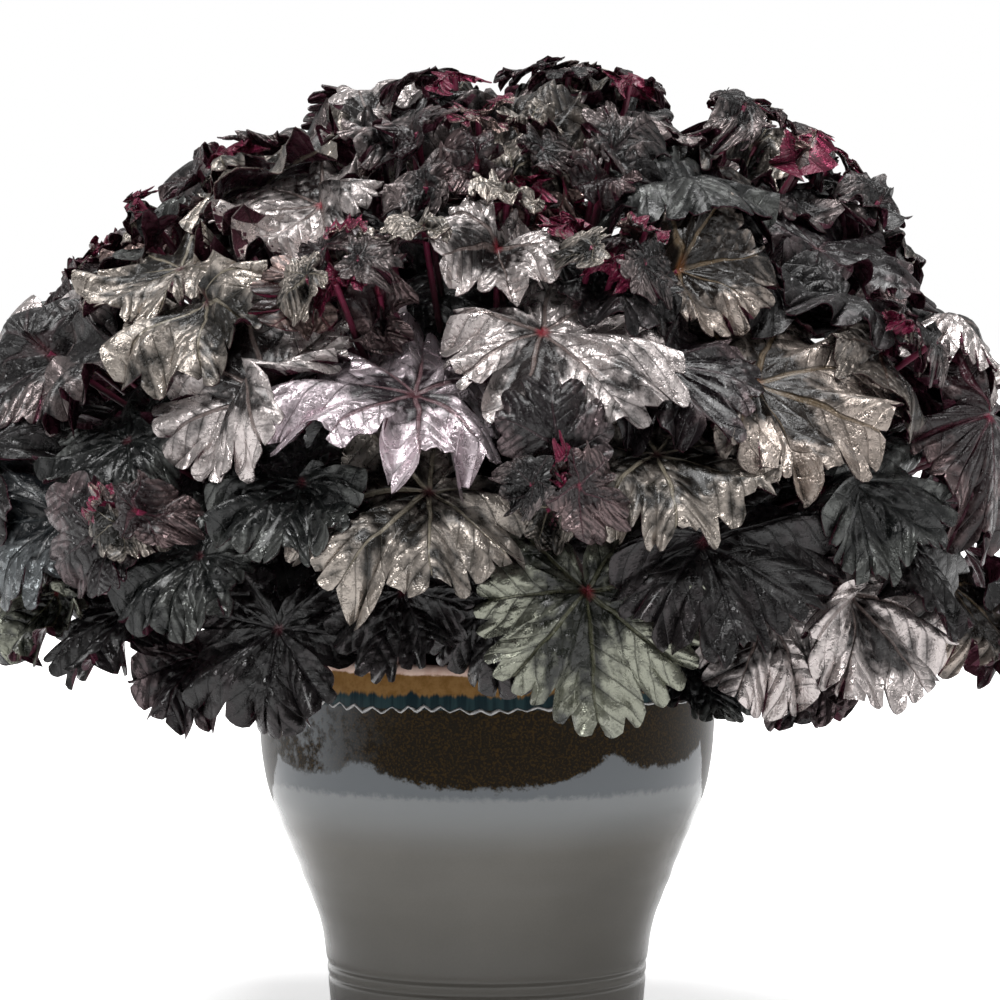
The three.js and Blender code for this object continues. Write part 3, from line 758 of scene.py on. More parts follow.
    def settle(self, leaf: Leaf, later: Array) -> None:
        """Turns a leaf and trims its span, to leave later leaves' stalks and the rosettes free.

        Args:
            leaf: the leaf.
            later: unit vectors of the later leaves' bases.
        """
        best = np.inf
        turn, span = leaf.turn, leaf.span
        for trim in self.trims:
            for swing in self.swings:
                trial = replace(leaf, turn=turn + swing, span=span * trim)
                stance = trial.stance()
                crossed = self.intrusion(trial, stance, later, self.stalk_margin)
                crossed += self.intrusion(trial, stance, self.tufts, self.tuft_margin)
                if crossed < best - 0.01:
                    best = crossed
                    leaf.turn, leaf.span = trial.turn, trial.span

    def plan_young(self, azimuth: float, elevation: float) -> list[Leaf]:
        """Plans three young leaves round a rosette's middle, where the mature blades leave it open.

        Args:
            azimuth: the middle's place.
            elevation: the middle's place.

        Returns:
            The leaves that found a place.
        """
        leaves: list[Leaf] = []
        apart = np.cos(np.radians(self.young_gap))
        for ring in range(3, 10):
            for step in range(12):
                if len(leaves) == 3:
                    return leaves
                bearing = np.radians(step * 30)
                up = elevation + ring * np.cos(bearing)
                around = azimuth + ring * np.sin(bearing) / np.cos(np.radians(elevation))
                way = direction(around, up)
                if all(leaf.way @ way < apart for leaf in leaves) and self.canopy.is_open(way):
                    turn = float(np.degrees(np.arctan2(np.sin(bearing), -np.cos(bearing))))
                    span = self.draws.draw(*self.young_spans)
                    # Painted shade: the young leaves of the low rosettes, which lie in shade, get the dark
                    # plum tone.
                    tone = Tone.PLUM if elevation < 30 else Tone.RED if leaves else Tone.WINE
                    leaves.append(self.new_leaf(YOUNG, around, up, turn, span, tone))
        return leaves

    def open_places(self) -> list[tuple[float, float]]:
        """Finds places that are still open, on a spiral over the dome.

        Returns:
            Their azimuths and elevations, lowest first.
        """
        drop = (1 - np.sin(np.radians(self.lowest_base))) / self.filler_tries
        steps = np.arange(self.filler_tries)
        elevations = np.degrees(np.arcsin(1 - drop * (steps + 0.5)))
        azimuths = (steps * GOLDEN_ANGLE) % 360 - 180
        places = [(float(a), float(e)) for a, e in zip(azimuths, elevations)]
        free = [place for place in places if self.canopy.is_open(direction(*place))]
        return sorted(free, key=lambda place: place[1])

    def lay(self, leaf: Leaf) -> bool:
        """Lays a blade over the ones placed so far, calmer where it would get too thin.

        Args:
            leaf: the leaf, which keeps its calm.

        Returns:
            Whether it found a place.
        """
        faces = leaf.kind.layout.faces
        angles, shares = leaf.kind.layout.corners.T
        for calm in self.calms:
            leaf.calm = calm
            points = blade_points(leaf, leaf.stance(), angles, shares)
            start = np.linalg.norm(points, axis=1)
            ways = points / start[:, None]
            if least_thickness(ways, start, faces, leaf.kind.thickness) < self.thinnest:
                continue
            cells = self.canopy.cells(ways, faces)
            reaches = self.canopy.bend_clear(points, cells)
            thick = least_thickness(ways, reaches, faces, leaf.kind.thickness)
            if (reaches - start).max() <= leaf.kind.most_push and thick >= self.thinnest:
                tops = cells.reach(reaches + leaf.kind.thickness)
                self.canopy.mark(cells.rows, cells.columns, tops)
                return True
        return False

    def grow(self) -> None:
        """Places mature leaves from the lowest up, then the young ones, then small fillers."""
        self.leaves = [leaf for leaf in self.plan_mature() if self.lay(leaf)]
        for azimuth, elevation in self.rosettes:
            self.leaves += [leaf for leaf in self.plan_young(azimuth, elevation) if self.lay(leaf)]
        full = len(self.leaves) + self.fillers
        for azimuth, elevation in self.open_places():
            if len(self.leaves) < full and self.canopy.is_open(direction(azimuth, elevation)):
                turn = self.turn_from(azimuth, elevation)
                span = self.draws.draw(*self.filler_spans)
                leaf = self.new_leaf(PLAIN, azimuth, elevation, turn, span)
                if self.lay(leaf):
                    self.leaves.append(leaf)


# ---- meshes
class MeshStack:
    """A mesh under construction: blocks of points, faces, plane coordinates and marks."""

    SHARP = 1.15

    def __init__(self) -> None:
        """Starts empty."""
        self.points: list[Array] = []
        self.corners: list[Array] = []
        self.totals: list[Array] = []
        self.materials: list[Array] = []
        self.planes: list[Array] = []
        self.marks: list[dict[str, Array]] = []
        self.count = 0

    def add(self, points: Array, faces: list[Array], marks: dict[str, Array], plane: Array | None = None,
            material: int = 0) -> None:
        """Adds a block.

        Args:
            points: its points, in millimetres in the row frame.
            faces: arrays of triangles or quads, as numbers of the block's own points.
            marks: named values of its points, numbers or colours.
            plane: coordinates of its points for patterns that follow the surface.
            material: number of its material.
        """
        count = len(points)
        self.points.append(points)
        self.planes.append(np.zeros((count, 2)) if plane is None else plane)
        self.marks.append(marks)
        for block in faces:
            self.corners.append((block + self.count).ravel())
            self.totals.append(np.full(len(block), block.shape[1]))
            self.materials.append(np.full(len(block), material))
        self.count += count

    def build(self, name: str, materials: list[bpy.types.Material]) -> bpy.types.Object:
        """Makes the object.

        Args:
            name: the piece's name.
            materials: the materials, in the order of their numbers.

        Returns:
            A smooth mesh object at the origin, sharp where faces turn by more radians than SHARP.
        """
        corners = np.concatenate(self.corners)
        totals = np.concatenate(self.totals)
        mesh = bpy.data.meshes.new(name)
        mesh.vertices.add(self.count)
        mesh.loops.add(len(corners))
        mesh.polygons.add(len(totals))
        mesh.vertices.foreach_set("co", (np.concatenate(self.points) * MM).ravel())
        mesh.loops.foreach_set("vertex_index", corners)
        mesh.polygons.foreach_set("loop_start", np.cumsum(totals) - totals)
        mesh.polygons.foreach_set("material_index", np.concatenate(self.materials))
        mesh.update(calc_edges=True)
        plane = np.concatenate(self.planes)[corners]
        mesh.uv_layers.new(name="plane").data.foreach_set("uv", plane.ravel())
        for key in self.marks[0]:
            values = np.concatenate([marks[key] for marks in self.marks])
            if values.ndim == 1:
                mesh.attributes.new(key, "FLOAT", "POINT").data.foreach_set("value", values)
            else:
                colours = np.column_stack([values, np.ones(len(values))]).ravel()
                mesh.attributes.new(key, "FLOAT_COLOR", "POINT").data.foreach_set("color", colours)
        mesh.shade_smooth()
        mesh.set_sharp_from_angle(angle=self.SHARP)
        for material in materials:
            mesh.materials.append(material)
        piece = bpy.data.objects.new(name, mesh)
        bpy.context.scene.collection.objects.link(piece)
        LOG.info("%s: %d faces", name, len(totals))
        return piece


def ring_faces(rings: int, columns: int) -> tuple[Array, Array]:
    """Faces between closed rings of points.

    Args:
        rings: number of rings, one after the other.
        columns: points in each ring.

    Returns:
        Quads that face a viewer to whom each ring lies outside the one before and runs
        counterclockwise, and the numbers of the points, ring by ring.
    """
    numbers = np.arange(rings * columns).reshape(rings, columns)
    after = np.roll(numbers, -1, axis=1)
    quads = np.stack([numbers[:-1], numbers[1:], after[1:], after[:-1]], axis=-1)
    return quads.reshape(-1, 4), numbers


def circles(path: Array, tangent: Array, reference: Array, radii: Array, sides: int) -> Array:
    """Rings of points round a path, square to it.

    Args:
        path: points of the middle line.
        tangent: the unit way along it at each of them.
        reference: a way that the path never runs along, or one for each point.
        radii: the ring's radius at each of them.
        sides: points in a ring.

    Returns:
        The points, ring by ring.
    """
    aside = unit(np.cross(tangent, reference))
    above = np.cross(aside, tangent)
    turn = np.linspace(0, 2 * np.pi, sides, endpoint=False)[:, None]
    ring = aside[:, None] * np.cos(turn) + above[:, None] * np.sin(turn)
    return (path[:, None] + ring * np.reshape(radii, (-1, 1, 1))).reshape(-1, 3)


def tube(path: Array, radii: Array, sides: int, reference: Array) -> tuple[Array, list[Array]]:
    """A closed tube along a path.

    Args:
        path: points of the middle line.
        radii: the tube's radius at each of them.
        sides: points round the tube.
        reference: a way that the path never runs along.

    Returns:
        Points and faces: rings square to the path, closed by a fan on each end.
    """
    points = circles(path, unit(np.gradient(path, axis=0)), reference, radii, sides)
    quads, numbers = ring_faces(len(path), sides)
    after = np.roll(numbers, -1, axis=1)
    bottom = np.stack([numbers[0], after[0], np.full(sides, numbers.size)], axis=-1)
    top = np.stack([after[-1], numbers[-1], np.full(sides, numbers.size + 1)], axis=-1)
    return np.vstack([points, path[:1], path[-1:]]), [quads, bottom, top]


# ---- fine blades
@dataclass(frozen=True)
class Frill:
    """Sizes of a blade's fine relief as shares of its span, and how unevenly its lobes are set.

    Rim is the share of the way to the edge where the curl starts.
    """

    pleat: float = 0.060
    puff: float = 0.030
    wave: float = 0.058
    curl: float = 0.09
    crimp: float = 0.045
    rim: float = 0.6
    swing: float = 1.0
    uneven_turn: tuple[float, float] = (3.5, 2.0)
    uneven_reach: tuple[float, float] = (0.05, 0.035)
    reach: float = 1.05

    def shape(self, grid: BladeGrid, phases: Array) -> tuple[Array, Array, Array]:
        """Where every fine point of a blade lies.

        Args:
            grid: the blade's grid.
            phases: six phases in radians.

        Returns:
            Angles: lobes are set unevenly by two sines, which fade beside the stalk, and teeth lean.
            Shares of the envelope: the ring's share of the edge, times two sines that make the
            lobes of uneven length. Lifts: the blade is pleated along its main veins, up from each
            vein to the valley beside it, more in some lobes than in others. Teeth are puffed, the
            rim bends down or up, and waves and a finer crimp grow towards the edge.
        """
        base, angles, turns, shares = grid.fields()
        fold = 0.75 + 0.45 * np.sin(3 * angles + phases[3])
        pleat = self.pleat * fold * shares * (1 - shares * 0.35) * grid.across_lobe(base) ** 0.8
        puff = self.puff * shares**5 * grid.tooth(base) ** 0.7
        wave = self.wave * shares**2.5 * np.sin(1.5 * turns + phases[0] + 1.2 * np.sin(2 * angles))
        bend = np.maximum(0, shares - self.rim) / (1 - self.rim)
        curl = self.curl * bend**2 * (0.35 + np.sin(2 * angles + phases[1]))
        crimp = self.crimp * shares**4 * np.sin(0.5 * grid.teeth * turns + phases[2] + np.sin(3 * angles))
        first, second = self.uneven_turn
        uneven = first * np.sin(angles + phases[3]) + second * np.sin(3 * angles + phases[4])
        lean = self.swing * shares**4 * np.cos(grid.teeth * turns + phases[1])
        bearing = base + uneven * np.cos(angles / 2) ** 2 + lean
        first, second = self.uneven_reach
        uneven = self.reach + first * np.sin(2 * angles + phases[4]) + second * np.sin(5 * angles + phases[5])
        return bearing, shares * grid.edge(base) * uneven, pleat + puff + wave + crimp - curl

MATURE_FRILL = Frill()
YOUNG_FRILL = Frill(pleat=0.10, puff=0.05, wave=0.10, curl=0.14, crimp=0.04)
CRINKLED_FRILL = Frill(pleat=0.11, puff=0.06, wave=0.13, curl=0.20, crimp=0.05)


@dataclass
class BladeMaker:
    """Turns planned leaves into fine closed blades, each laid clear of the ones before it.

    Lean and roll are the most that a blade tilts beyond its plan, and small is the size of the
    blades far from the bulge. Farthest and widest are the reach and the radius past which points
    are drawn in to the shares far_give and wide_give, and skew lets the reach grow towards +X.
    Taper narrows the plane of the veins beside the stalk.
    """

    thickness: float = 0.8
    loose_thickness: float = 0.7
    clearance: float = 0.5
    steepest: float = 0.55
    taper: float = 0.19
    rounds: int = 14
    smoothings: int = 3
    lean: float = 28.0
    low_lean: float = 42.0
    roll: float = 13.0
    bulge: tuple[float, float] = (24.0, 12.0)
    small: float = 0.82
    low: float = 15.0
    farthest: float = 290.0
    far_give: float = 0.5
    skew: float = 0.10
    widest: float = 256.0
    wide_give: float = 0.3
    upright: float = 0.3

    def __post_init__(self) -> None:
        """Starts a canopy of its own for the fine blades."""
        self.canopy = Canopy()

    def cells(self, ways: Array) -> tuple[Array, Array]:
        """Rows and columns of the canopy's cells that ways pass through."""
        columns, rows = np.moveaxis(np.round(self.canopy.place(ways)).astype(int), -1, 0)
        return rows, columns

    def drape(self, points: Array) -> Array:
        """How far a fine blade is raised to clear the blades before it.

        Args:
            points: its points from the crown, ring by ring from the middle.

        Returns:
            The raise of each point. Slopes of the raise stay under the steepest, and it is smoothed.
        """
        start = np.linalg.norm(points, axis=-1)
        placed = self.canopy.reach[self.cells(points / start[..., None])]
        push = np.where(placed > 0, np.maximum(0, placed + self.clearance - start), 0)
        outward = self.steepest * np.linalg.norm(np.diff(points, axis=0), axis=-1)
        around = self.steepest * np.linalg.norm(np.roll(points, -1, axis=1) - points, axis=-1)
        for _ in range(self.rounds):
            push[1:] = np.maximum(push[1:], push[:-1] - outward)
            push[:-1] = np.maximum(push[:-1], push[1:] - outward)
            after = np.roll(push, -1, axis=1) - around
            before = np.roll(push - around, 1, axis=1)
            push = np.maximum(push, np.maximum(after, before))
        for _ in range(self.smoothings):
            push = 0.5 * push + 0.25 * (np.roll(push, 1, axis=1) + np.roll(push, -1, axis=1))
            push[1:-1] = 0.5 * push[1:-1] + 0.25 * (push[2:] + push[:-2])
        push[0] = push[0].mean()
        return push

    def raised(self, points: Array) -> Array:
        """Lays the fine points of a blade over the fine blades before it, and joins it to them.

        Args:
            points: its fine points from the crown.

        Returns:
            The points of its upper face from the crown.
        """
        reach = np.linalg.norm(points, axis=-1)
        ways = points / reach[..., None]
        reach = reach + self.drape(points) + self.thickness
        rows, columns = self.cells(ways)
        self.canopy.mark(rows.ravel(), columns.ravel(), reach.ravel())
        return ways * reach[..., None]

    def held_in(self, points: Array) -> Array:
        """Keeps points from standing out of the plant.

        Args:
            points: the points, from the crown.

        Returns:
            The points. What lies beyond the farthest reach or the widest radius is drawn in to a
            share of itself.
        """
        reach = np.linalg.norm(points, axis=-1, keepdims=True)
        farthest = self.farthest + self.skew * np.maximum(0, points[..., :1])
        points = points * np.minimum(1, (farthest + self.far_give * (reach - farthest)) / reach)
        flat = np.linalg.norm(points[..., :2], axis=-1, keepdims=True)
        inward = np.minimum(1, (self.widest + self.wide_give * (flat - self.widest)) / flat)
        return points * np.concatenate([inward, inward, np.ones_like(inward)], axis=-1)

    def close(self, stack: MeshStack, top: Array, below: Array, grid: BladeGrid, leaf: Leaf) -> None:
        """Adds a blade to a mesh as a closed solid.

        Args:
            stack: the mesh under construction.
            top: points of its upper face in the row frame, ring by ring from the middle.
            below: the step from each of them to the lower face.
            grid: the blade's grid.
            leaf: the leaf, for its colours.
        """
        rings, columns = top.shape[0] - 1, top.shape[1]
        quads, numbers = ring_faces(rings, columns)
        after = np.roll(numbers, -1, axis=1)
        half = rings * columns + 1
        fan = np.stack([np.full(columns, -1), numbers[0], after[0]], axis=-1)
        rim = np.stack([numbers[-1], numbers[-1] + half, after[-1] + half, after[-1]], axis=-1)
        upper = np.vstack([top[0, :1], top[1:].reshape(-1, 3)])
        step = np.vstack([below[0, :1], below[1:].reshape(-1, 3)])
        base, angles, _, shares = grid.fields()
        length = shares[1:] * grid.edge(base) * (1 - self.taper + self.taper * np.cos(angles))
        plane = np.stack([length * np.sin(angles), length * np.cos(angles)], axis=-1).reshape(-1, 2)
        shade = leaf.shade
        count = 2 * half
        marks = {
            "ground": np.repeat([shade.ground, shade.back], half, axis=0),
            "silver_and_painted_sheen": np.repeat([shade.silver_and_painted_sheen, shade.back], half, axis=0),
            "vein": np.tile(shade.vein, (count, 1)),
            "junction": np.tile(shade.junction, (count, 1)),
            "silver": np.full(count, shade.silver),
            "lobes": np.full(count, float(grid.lobes)),
            "share": np.tile(np.concatenate([[0.0], np.repeat(shares[1:], columns)]), 2),
        }
        faces = [fan + 1, quads + 1, fan[:, ::-1] + 1 + half, quads[:, ::-1] + 1 + half, rim + 1]
        stack.add(np.vstack([upper, upper + step]), faces, marks, np.vstack([[0, 0], plane, [0, 0], plane]))

    def natural_lie(self, leaf: Leaf, phases: Array) -> Lie:
        """How a blade lies where nothing else is asked.

        Args:
            leaf: the leaf.
            phases: six phases in radians.

        Returns:
            Its lie: blades face up most of all at the dome's bulge, by a bell curve over their
            elevation, and are smaller away from there. The lowest ones face up too.
        """
        if leaf.elevation < self.low:
            return Lie(leaf.turn, self.low_lean, self.small)
        middle, width = self.bulge
        height = np.exp(-(((leaf.elevation - middle) / width) ** 2))
        lean = self.lean * (0.85 + 0.3 * np.sin(phases[4])) * height
        return Lie(leaf.turn, lean, self.small + (1 - self.small) * height)

    def add(self, stack: MeshStack, leaf: Leaf, frill: Frill, phases: Array) -> Array:
        """Adds a planned leaf's fine blade to a mesh.

        Args:
            stack: the mesh under construction.
            leaf: the leaf.
            frill: the sizes of its relief.
            phases: six phases in radians.

        Returns:
            The middle of its lower face in the row frame, where the stalk ends.
        """
        grid = leaf.kind.grid
        lie = leaf.lie or self.natural_lie(leaf, phases)
        leaf.turn = lie.turn
        stance = leaf.stance(lie.lean).rolled(self.roll * np.sin(phases[5]))
        bearing, length, lift = frill.shape(grid, phases)
        points = blade_points(leaf, stance, bearing, length * lie.size, lift)
        top = self.held_in(self.raised(points))
        outward = unit(top) if stance.normal @ leaf.way > self.upright else stance.normal
        below = np.broadcast_to(-outward * self.thickness, top.shape)
        self.close(stack, top + CROWN, below, grid, leaf)
        return top[0, 0] + below[0, 0] + CROWN

    def add_loose(self, stack: MeshStack, leaf: Leaf, stance: Stance, grid: BladeGrid, frill: Frill,
                  phases: Array) -> None:
        """Adds a blade that stands free of the canopy.

        Args:
            stack: the mesh under construction.
            leaf: the leaf, for its span, waves and colours.
            stance: where its blade stands, from the crown.
            grid: its grid.
            frill: the sizes of its relief.
            phases: six phases in radians.
        """
        points = blade_points(leaf, stance, *frill.shape(grid, phases))
        below = np.broadcast_to(-stance.normal * self.loose_thickness, points.shape)
        self.close(stack, points + CROWN, below, grid, leaf)


# ---- shader wiring
class Wire:
    """A value in a node tree. Arithmetic on wires adds Math nodes."""

    def __init__(self, tree: bpy.types.NodeTree, socket: bpy.types.NodeSocket) -> None:
        """Holds an output socket of the tree."""
        self.tree = tree
        self.socket = socket

    def math(self, operation: str, *others: "Wire | float") -> "Wire":
        """Adds a Math node with this wire first.

        Args:
            operation: what it does.
            *others: its other values.

        Returns:
            The result.
        """
        node = self.tree.nodes.new("ShaderNodeMath")
        node.operation = operation
        self.tree.links.new(self.socket, node.inputs[0])
        for i, other in enumerate(others, 1):
            plug(self.tree, other, node.inputs[i])
        return Wire(self.tree, node.outputs[0])

    def __add__(self, other: "Wire | float") -> "Wire":
        """Sum."""
        return self.math("ADD", other)

    def __sub__(self, other: "Wire | float") -> "Wire":
        """Difference."""
        return self.math("SUBTRACT", other)

    def __mul__(self, other: "Wire | float") -> "Wire":
        """Product."""
        return self.math("MULTIPLY", other)

    def __truediv__(self, other: "Wire | float") -> "Wire":
        """Quotient."""
        return self.math("DIVIDE", other)

    def __abs__(self) -> "Wire":
        """Size without sign."""
        return self.math("ABSOLUTE")

    def beside(self, output: str) -> "Wire":
        """Another output of the node that the wire comes from."""
        return Wire(self.tree, self.socket.node.outputs[output])

    def flipped(self) -> "Wire":
        """One less the wire."""
        return self.math("MULTIPLY", -1.0).math("ADD", 1.0)

    def ramp(self, start: float, end: float, low: float = 0.0, high: float = 1.0) -> "Wire":
        """Runs smoothly from low to high as the wire goes from start to end.

        Args:
            start: value of the wire at which the result is low.
            end: value of the wire at which it is high.
            low: the result up to the start.
            high: the result from the end on.

        Returns:
            The result.
        """
        node = self.tree.nodes.new("ShaderNodeMapRange")
        node.interpolation_type = "SMOOTHSTEP"
        self.tree.links.new(self.socket, node.inputs["Value"])
        for name, value in zip(("From Min", "From Max", "To Min", "To Max"), (start, end, low, high)):
            node.inputs[name].default_value = value
        return Wire(self.tree, node.outputs["Result"])


def plug(tree: bpy.types.NodeTree, value: object, socket: bpy.types.NodeSocket) -> None:
    """Links a wire to a socket, or sets the socket to a number or colour.

    Args:
        tree: the tree that the socket is in.
        value: the wire, number or colour.
        socket: the input socket.
    """
    if isinstance(value, Wire):
        tree.links.new(value.socket, socket)
    elif isinstance(value, tuple) and len(value) == 3 and socket.type == "RGBA":
        socket.default_value = (*value, 1.0)
    else:
        socket.default_value = value


class Painter:
    """Lays out the nodes of one material or group."""

    def __init__(self, tree: bpy.types.NodeTree) -> None:
        """Works in the tree."""
        self.tree = tree

    def node(self, kind: str, output: str | int = 0, settings: dict[str, object] | None = None,
             **inputs: object) -> Wire:
        """Adds a node.

        Args:
            kind: the node's type, without the leading ShaderNode.
            output: the output that is wanted.
            settings: properties of the node.
            **inputs: values or wires for its inputs, with _ for a space in a name.

        Returns:
            The wanted output.
        """
        node = self.tree.nodes.new("ShaderNode" + kind)
        for name, value in (settings or {}).items():
            setattr(node, name, value)
        for name, value in inputs.items():
            plug(self.tree, value, node.inputs[name.replace("_", " ")])
        return Wire(self.tree, node.outputs[output])

    def mark(self, name: str, output: str = "Fac") -> Wire:
        """A named value of the mesh."""
        return self.node("Attribute", output, {"attribute_name": name})

    def place(self) -> Wire:
        """The point's place on the piece."""
        return self.node("TexCoord", "Object")

    def plane(self) -> Wire:
        """The point's place in the surface's own plane."""
        return self.node("UVMap", "UV", {"uv_map": "plane"})

    def noise(self, vector: Wire, scale: Wire | float, detail: float = 4.0, roughness: float = 0.55) -> Wire:
        """Noise from 0 to 1."""
        return self.node("TexNoise", "Fac", None, Vector=vector, Scale=scale, Detail=detail,
                         Roughness=roughness)

    def mix(self, share: Wire | float, low: Wire | Colour, high: Wire | Colour) -> Wire:
        """Mixes two colours.

        Args:
            share: share of the second one.
            low: the first colour.
            high: the second colour.

        Returns:
            The mixed colour.
        """
        node = self.tree.nodes.new("ShaderNodeMix")
        node.data_type = "RGBA"
        plug(self.tree, share, node.inputs[0])
        plug(self.tree, low, node.inputs[6])
        plug(self.tree, high, node.inputs[7])
        return Wire(self.tree, node.outputs[2])

    def vectors(self, operation: str, first: Wire, second: Wire | Colour) -> Wire:
        """Adds a Vector Math node.

        Args:
            operation: what it does.
            first: its first vector.
            second: its second vector.

        Returns:
            The resulting vector.
        """
        node = self.tree.nodes.new("ShaderNodeVectorMath")
        node.operation = operation
        plug(self.tree, first, node.inputs[0])
        plug(self.tree, second, node.inputs[1])
        return Wire(self.tree, node.outputs[0])

    def group(self, group: bpy.types.NodeTree, output: str, **inputs: object) -> Wire:
        """Adds a node group.

        Args:
            group: the group.
            output: the output that is wanted.
            **inputs: values or wires for its inputs.

        Returns:
            The wanted output.
        """
        node = self.tree.nodes.new("ShaderNodeGroup")
        node.node_tree = group
        for name, value in inputs.items():
            plug(self.tree, value, node.inputs[name])
        return Wire(self.tree, node.outputs[output])

class GroupPainter(Painter):
    """Lays out the nodes of a group, between its inputs and its outputs."""

    def __init__(self, name: str, **inputs: str) -> None:
        """Starts a group.

        Args:
            name: its name.
            **inputs: its inputs, each with Vector or Float for its kind.
        """
        super().__init__(bpy.data.node_groups.new(name, "ShaderNodeTree"))
        for key, kind in inputs.items():
            self.tree.interface.new_socket(key, in_out="INPUT", socket_type="NodeSocket" + kind)
        self.source = self.tree.nodes.new("NodeGroupInput")

    def given(self, name: str) -> Wire:
        """One of the group's inputs."""
        return Wire(self.tree, self.source.outputs[name])

    def finish(self, **outputs: Wire) -> bpy.types.NodeTree:
        """Adds the group's outputs.

        Args:
            **outputs: a wire for each of them.

        Returns:
            The finished group.
        """
        for key in outputs:
            self.tree.interface.new_socket(key, in_out="OUTPUT", socket_type="NodeSocketFloat")
        sink = self.tree.nodes.new("NodeGroupOutput")
        for key, wire in outputs.items():
            self.tree.links.new(wire.socket, sink.inputs[key])
        return self.tree


def vein_group() -> bpy.types.NodeTree:
    """The vein network of a palmate leaf, in the blade's own plane.

    Returns:
        A group whose inputs are the plane's coordinates and the number of lobes. Main is the mask
        of the main veins, one to each lobe from the junction. Side is the mask of the side veins,
        which leave them like a herringbone. Height is the relief: puckers between sunken veins.
    """
    painter = GroupPainter("leaf_veins", Plane="Vector", Lobes="Float")
    plane = painter.given("Plane")
    lobes = painter.given("Lobes")
    flat_noise = {"noise_dimensions": "2D"}
    wander = painter.node("TexNoise", "Color", flat_noise, Vector=plane, Scale=3.5, Detail=1.0)
    shift = painter.node("VectorMath", 0, {"operation": "SCALE"}, Vector=wander, Scale=0.05)
    bent = painter.vectors("ADD", plane, shift)
    parts = painter.node("SeparateXYZ", "X", None, Vector=bent)
    x = parts - 0.025
    y = parts.beside("Y") - 0.025
    radius = (x * x + y * y).math("SQRT")
    pitch = lobes.math("POWER", -1.0) * float(np.radians(LOBED_TURN))
    turns = x.math("ARCTAN2", y) / pitch
    reach = (lobes - 1.0) * 0.5
    nearest = turns.math("ROUND").math("MINIMUM", reach).math("MAXIMUM", reach * -1.0)
    off = (turns - nearest) * pitch
    aside = radius * off.math("SINE")
    along = radius * off.math("COSINE")
    width = radius.ramp(0.0, 1.0, 0.020, 0.006)
    main = (abs(aside) / width).ramp(0.5, 1.3, 1.0, 0.0)
    stagger = aside.ramp(-0.001, 0.001, 0.0, 0.5)
    ribs = (along - abs(aside) * 0.95) * 7.0 + stagger
    gap = abs(ribs.math("FRACT") - 0.5)
    side = gap.ramp(0.43, 0.5, 0.0, 1.0) * along.ramp(0.08, 0.2)
    flat_cells = {"feature": "SMOOTH_F1", "voronoi_dimensions": "2D"}
    cells = painter.node("TexVoronoi", "Distance", flat_cells, Vector=bent, Scale=9.0)
    pucker = cells.ramp(0.0, 0.75, 1.0, 0.0) * 0.7 + gap.ramp(0.5, 0.1) * 0.3
    return painter.finish(Main=main, Side=side, Height=pucker - main * 0.6 - side * 0.25)


def mottle_group() -> bpy.types.NodeTree:
    """Uneven colour.

    Returns:
        A group with a Vector and a Scale, which puts out Broad noise and Fine noise, 9 times smaller.
    """
    painter = GroupPainter("mottling", Vector="Vector", Scale="Float")
    vector = painter.given("Vector")
    scale = painter.given("Scale")
    broad = painter.noise(vector, scale, 2.0, 0.5)
    fine = painter.noise(vector, scale * 9.0, 3.0, 0.7)
    return painter.finish(Broad=broad.ramp(0.3, 0.7), Fine=fine.ramp(0.3, 0.7))


def finish_material(material: bpy.types.Material, **inputs: object) -> bpy.types.Material:
    """Adds the surface shader of a material.

    Args:
        material: the material.
        **inputs: values or wires for the shader's inputs, with _ for a space in a name.

    Returns:
        The finished material.
    """
    tree = material.node_tree
    shader = tree.nodes.new("ShaderNodeBsdfPrincipled")
    for key, value in inputs.items():
        plug(tree, value, shader.inputs[key.replace("_", " ")])
    output = tree.nodes.new("ShaderNodeOutputMaterial")
    tree.links.new(shader.outputs[0], output.inputs[0])
    LOG.info("finish %s", material.name)
    return material


def new_material(name: str) -> tuple[bpy.types.Material, Painter]:
    """Starts an empty material with nodes.

    Args:
        name: its name.

    Returns:
        The material and a painter for it.
    """
    material = bpy.data.materials.new(name)
    material.use_nodes = True
    material.node_tree.nodes.clear()
    return material, Painter(material.node_tree)


# ---- finishes
@dataclass(frozen=True)
class LeafFinish:
    """Satin leaf: a dark ground, and between the veins a silver colour that is partly the leaf's own silver
    and partly painted sheen, highlight and shade.
    """

    veins: bpy.types.NodeTree
    mottling: bpy.types.NodeTree
    roughness: float = 0.30
    relief: float = 1.9
    metal: float = 0.8

    def build(self) -> bpy.types.Material:
        """Makes the material, which reads the leaves' named colours.

        Returns:
            The material.
        """
        material, painter = new_material("leaf")
        main = painter.group(self.veins, "Main", Plane=painter.plane(), Lobes=painter.mark("lobes"))
        height = main.beside("Height")
        broad = painter.group(self.mottling, "Broad", Vector=painter.place(), Scale=28.0)
        fine = broad.beside("Fine")
        share = painter.mark("share")
        # Painted light in part: besides the leaf's own silver, the silver is raised on the puckers and
        # towards the rim as painted highlight. It is lowered in the sunken veins, near the junction and in
        # some of the broad patches as painted shade.
        silver_and_light_patch = broad * 0.8 + fine * 0.2 + height * 0.35 + share.ramp(0.1, 0.98, -0.2, 0.4)
        silver_and_sheen_cover = (silver_and_light_patch + painter.mark("silver") - 1.16).ramp(-0.08, 0.50)
        colour = painter.mix(silver_and_sheen_cover, painter.mark("ground", "Color"), painter.mark("silver_and_painted_sheen", "Color"))
        lines = main * 0.65 + main.beside("Side") * 0.08
        colour = painter.mix(lines, colour, painter.mark("vein", "Color"))
        heart = share.ramp(0.02, 0.10, 0.9, 0.0)
        colour = painter.mix(heart, colour, painter.mark("junction", "Color"))
        gloss = fine.ramp(0.0, 1.0, self.roughness - 0.08, self.roughness + 0.12)
        crinkle = height + fine * 0.22
        bump = painter.node("Bump", 0, None, Strength=0.9, Distance=self.relief * MM, Height=crinkle)
        return finish_material(material, Base_Color=colour, Roughness=gloss, Normal=bump,
                               Metallic=silver_and_sheen_cover * self.metal, Specular_IOR_Level=0.3, Coat_Weight=0.2,
                               Coat_Roughness=0.25)


